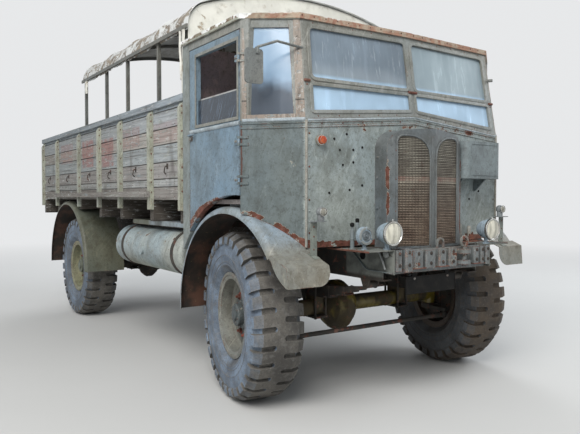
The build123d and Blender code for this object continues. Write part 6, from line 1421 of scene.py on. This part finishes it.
LOW_Z = 2.655
X0, X1 = F - 3.355, F - 0.604
COLS, ROWS = 240, 150
grid = []
for i in range(COLS + 1):
    x = lerp(X0, X1, i / COLS)
    row = []
    edge = {side: HALF_ROOF + (EAVE_Z - (LOW_Z + max(-0.002, ragged(x, side)))) for side in (1, -1)}
    sag = hoop_sag(x)
    for j in range(ROWS + 1):
        t = -1 + 2 * j / ROWS
        side = 1 if t > 0 else -1
        u = t * edge[side]
        d = abs(u)
        slack = 0.011 * math.exp(-d ** 2) + 0.016 * math.exp(-((d - 1.02) / 0.22) ** 2)
        fold = wobble(x * 5.5 + d * 1.5, u * 3.0, 1.0) * 0.006 * (0.3 + sag)
        drag = math.sin(x * 9.0 + side * d * 7.0) * 0.0022 * sag * math.exp(-((d - 0.95) / 0.3) ** 2)
        hang = max(0.0, d - HALF_ROOF)
        flap = wobble(x * 8.0, side * 2.0, 5.0) * 0.05 * hang / 0.2 * (0.3 + 0.7 * sag)
        off = 0.0058 - sag * slack + fold * min(1.0, sag + 0.15) + drag + max(-0.004, flap)
        if sag < 0.06:
            off = max(off, 0.0045)
        p = tilt_point(u, off)
        torn = wobble(u * 4.0, 3.0, 8.0) * 0.02 * (1 - i / 6) if i < 6 else 0.0
        row.append((x + torn, p.y, p.z))
    grid.append(row)
canvas, canvas_area = sheet_mesh("tilt_sheet", grid, "canvas")
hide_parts("tilt_canvas")

# The front hood closes the tilt behind the cab
HOOD_X = 1.510
HOOD_FOOT_Z = 2.181
grid = []
for i in range(61):
    top = tilt_point((-1 + 2 * i / 60) * HALF_ROOF, -0.006)
    row = []
    for j in range(41):
        s = j / 40
        z = lerp(HOOD_FOOT_Z, top.z, s)
        ripple = math.sin(top.y * 21 + z * 2.0) * 0.0022 * (1 - s * 0.6)
        wave = wobble(top.y * 2.2, z * 1.6, 3.0) * 0.007 + ripple
        held = min(1.0, 6 * min(s, 1 - s))
        row.append((HOOD_X + max(-0.0065, min(0.0065, wave * held)), top.y, z))
    grid.append(row)
hood, hood_area = sheet_mesh("hood_sheet", grid, "hood", 0.0028)
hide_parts("tilt_front")


def strip(name, top, width, length, seed, lean=(0.0, 0.0)):
    """A torn strip that hangs from the canvas edge and curls at its foot."""
    rows = []
    for i in range(25):
        s = i / 24
        w = width * (1 - 0.35 * s + 0.12 * wobble(s * 6, seed, 0))
        cx = top[0] + lean[0] * s + 0.012 * wobble(s * 3, seed, 3)
        cy = top[1] + lean[1] * s * s + 0.015 * wobble(s * 2.5, seed, 6) * s
        row = []
        for j in range(7):
            k = j / 6 - 0.5
            curl = 0.010 * math.sin(math.pi * (k + 0.5)) * (0.4 + s)
            row.append((cx + w * k, cy + math.copysign(curl, top[1]), top[2] - length * s))
        rows.append(row)
    piece, area = sheet_mesh(name, rows, "hood", 0.002)


strip("torn_strip_a", (F - 0.668, -1.166, 2.690), 0.055, 0.62, 1.0)
strip("torn_strip_b", (F - 0.735, -1.166, 2.695), 0.038, 0.40, 2.0, lean=(0.015, 0.01))
strip("torn_strip_c", (F - 3.20, -1.166, 2.690), 0.11, 0.16, 3.0)
strip("torn_strip_d", (F - 0.700, 1.166, 2.690), 0.050, 0.50, 4.0)
strip("torn_strip_e", (F - 2.20, 1.166, 2.690), 0.070, 0.22, 5.0)


# Seat cushions: crowned pads with piping
def pad(name, centre, size, tilt, crown, slack):
    w, l, h = size
    spin = Matrix.Rotation(tilt, 4, "Y")
    bm = bmesh.new()
    n = 16
    layers = 6
    verts = {}

    def shape(a, b, c):
        """A point of the pad from its place in a cube from -1 to 1."""
        pinch = 1 - 0.035 * (1 - c * c)
        fall = (1 - abs(a) ** 5) * (1 - abs(b) ** 5)
        x = a * l / 2 * pinch + wobble(a * 2, b * 2, c + slack) * 0.003
        z = c * h / 2 + crown * fall * max(0, c) + wobble(a * 3 + slack, b * 3, 4.0) * 0.0035 * max(0, c)
        return Vector(centre) + spin @ Vector((x, b * w / 2 * pinch, z))

    def vert(i, j, k):
        if (i, j, k) not in verts:
            verts[i, j, k] = bm.verts.new(shape(-1 + 2 * i / n, -1 + 2 * j / n, -1 + 2 * k / layers))
        return verts[i, j, k]

    for i in range(n):
        for j in range(n):
            for k in (0, layers):
                bm.faces.new((vert(i, j, k), vert(i + 1, j, k), vert(i + 1, j + 1, k), vert(i, j + 1, k)))
    for i in range(n):
        for k in range(layers):
            for j in (0, n):
                bm.faces.new((vert(i, j, k), vert(i + 1, j, k), vert(i + 1, j, k + 1), vert(i, j, k + 1)))
                bm.faces.new((vert(j, i, k), vert(j, i + 1, k), vert(j, i + 1, k + 1), vert(j, i, k + 1)))
    piece = clothed(name, mesh_of(name, bm), "hide")
    soften(piece, 0.012, 3, 50)
    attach(piece, TRUCK)
    piping = batch("seat_piping", "hide", "seat_cover")
    run = (-0.96, -0.5, 0, 0.5, 0.96)
    seam = [(-1, t) for t in run] + [(t, 1) for t in run] + [(1, -t) for t in run] + [(-t, -1) for t in run]
    for c in (-0.9, 0.9):
        tube(piping, [shape(a, b, c) for a, b in seam], 0.0042, 8, closed=True)
    return piece


pads = []
for side, word in ((1, "left"), (-1, "right")):
    seat_pad = pad("seat_pad_" + word, (F - 0.233, side * 0.745, 1.686), (0.500, 0.484, 0.088), 0.0, 0.013,
            side)
    back_pad = pad("back_pad_" + word, (F - 0.4745, side * 0.745, 1.928), (0.450, 0.345, 0.066),
            math.radians(90 - 3), 0.006, side + 5)
    pads += [seat_pad, back_pad]
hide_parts("seat_cushions")

# Springs, frame and axle irons
SPRINGS = ((F, 0.620), (REAR, 0.640))
SPRING_Y = 0.415
LEAF = 0.0133
clips = batch("spring_clips", "chassis", "chassis_iron", bevel=0.001)
for ax, half in SPRINGS:
    bend = (half ** 2 + 0.05 ** 2) / 0.1
    for side in (1, -1):
        y0, y1 = side * SPRING_Y - 0.037, side * SPRING_Y + 0.037
        for end in (-1, 1):
            for share in (0.34, 0.62):
                x = ax + end * half * share
                top = 0.752 + bend - math.sqrt(bend ** 2 - (x - ax) ** 2)
                low = top - (int((1 - share) / 0.125) + 1) * LEAF
                for y in (y0 - 0.003, y1 + 0.003):
                    brick(clips, (x - 0.014, y - 0.003, low - 0.004), (x + 0.014, y + 0.003, top + 0.004))
                brick(clips, (x - 0.014, y0 - 0.004, low - 0.007), (x + 0.014, y1 + 0.004, low - 0.001))
rail_rivets = batch("rail_rivets", "chassis", "chassis_iron")
for side in (1, -1):
    spots = [(x, z) for x in (-2.96, -2.30, -1.15, -0.35, 0.60, 1.0, 1.38)
            for z in (0.885, 0.93, 0.985, 1.03)]
    spots += [(ax + end * half + dx, 0.880) for ax, half in SPRINGS for end in (-1, 1)
            for dx in (-0.03, 0.03)]
    for x, z in spots:
        rivet(rail_rivets, (x, side * 0.455, z), (0, side, 0), 0.010)
ring = batch("diff_bolts", "axle", "oily_iron")
for ax in (F, REAR):
    for k in range(14):
        a = 2 * math.pi * k / 14
        for face in (1, -1):
            at = (ax + 0.168 * math.cos(a), -0.215 + face * 0.043, AXLE_Z + 0.168 * math.sin(a))
            bolt(ring, at, (0, face, 0), 0.009)

# Brake drums inside the steered wheels
for where, side in (("left", 1), ("right", -1)):
    drum = batch("brake_" + where, "chassis", "oily_iron", "knuckle_" + where)
    m, outward = wheel_matrix(F, side)
    turned(drum, [(-0.078, 0.090), (-0.078, 0.196), (-0.074, 0.205), (-0.036, 0.207), (-0.034, 0.200),
            (-0.034, 0.090)], m.translation, outward, 44)
    bolt_circle(drum, m, 10, 0, 0.160, -0.078, -outward, 0.008)

for name, spec in batches.items():
    finish_batch(name, spec)

# Pale floor, backdrop and soft light
BACKDROP = (0.80, 0.81, 0.82)
REACH = 60
floor_mesh = bpy.data.meshes.new("Floor")
floor_mesh.from_pydata([(-REACH, -REACH, 0), (REACH, -REACH, 0), (REACH, REACH, 0), (-REACH, REACH, 0)], [],
        [(0, 1, 2, 3)])
floor = new_object("Floor", floor_mesh)
ground = Finish("pale floor", rough=0.9, seed=307)
ground.colour(ground.mix(ground.noise(0.5, detail=3), (0.50, 0.50, 0.49), (0.55, 0.55, 0.54)))
far = ground.node("ShaderNodeEmission")
far.inputs[0].default_value = (*BACKDROP, 1)
sight = ground.node("ShaderNodeLightPath")
seen_far = ground.math("MAXIMUM", sight.outputs["Is Camera Ray"],
        ground.math("MAXIMUM", sight.outputs["Is Glossy Ray"], sight.outputs["Is Transmission Ray"]))
away = ground.math("SQRT", ground.add(ground.math("POWER", ground.x, 2.0),
        ground.math("POWER", ground.y, 2.0)))
fade = ground.node("ShaderNodeMixShader")
ground.put(fade.inputs[0], ground.mul(ground.step(away, 4.0, 15.0), seen_far))
ground.tree.links.new(ground.bsdf.outputs[0], fade.inputs[1])
ground.tree.links.new(far.outputs[0], fade.inputs[2])
ground.tree.links.new(fade.outputs[0], ground.out.inputs[0])
floor_mesh.materials.append(ground.mat)

world = bpy.data.worlds.new("Sky")
bpy.context.scene.world = world
world.use_nodes = True
tree = world.node_tree
tree.nodes.clear()
w_out = tree.nodes.new("ShaderNodeOutputWorld")
soft = tree.nodes.new("ShaderNodeBackground")
soft.inputs[0].default_value = (0.90, 0.95, 1.0, 1)
soft.inputs[1].default_value = 0.54
seen = tree.nodes.new("ShaderNodeBackground")
seen.inputs[0].default_value = (*BACKDROP, 1)
seen.inputs[1].default_value = 1.0
path = tree.nodes.new("ShaderNodeLightPath")


def larger(a, b):
    pick = tree.nodes.new("ShaderNodeMath")
    pick.operation = "MAXIMUM"
    tree.links.new(a, pick.inputs[0])
    tree.links.new(b, pick.inputs[1])
    return pick.outputs[0]


mixer = tree.nodes.new("ShaderNodeMixShader")
direct = larger(path.outputs["Is Camera Ray"], path.outputs["Is Transmission Ray"])
tree.links.new(larger(direct, path.outputs["Is Glossy Ray"]), mixer.inputs[0])
tree.links.new(soft.outputs[0], mixer.inputs[1])
tree.links.new(seen.outputs[0], mixer.inputs[2])
tree.links.new(mixer.outputs[0], w_out.inputs[0])


def lamp(name, at, aim, size, power, colour):
    data = bpy.data.lights.new(name, "AREA")
    data.shape = "RECTANGLE"
    data.size, data.size_y = size
    data.energy = power
    data.color = colour
    light = new_object(name, data)
    light.location = at
    light.rotation_euler = (Vector(aim) - Vector(at)).to_track_quat("-Z", "Y").to_euler()


lamp("key", (7.5, -7.0, 9.0), (0.6, 0, 1.2), (7, 6), 1450, (1.0, 0.98, 0.95))
lamp("fill", (3.5, 9.5, 6.0), (0.8, 0, 1.2), (6, 5), 430, (0.92, 0.96, 1.0))
lamp("back", (-9.0, 5.0, 8.0), (-0.5, 0, 1.2), (7, 6), 620, (0.95, 0.97, 1.0))
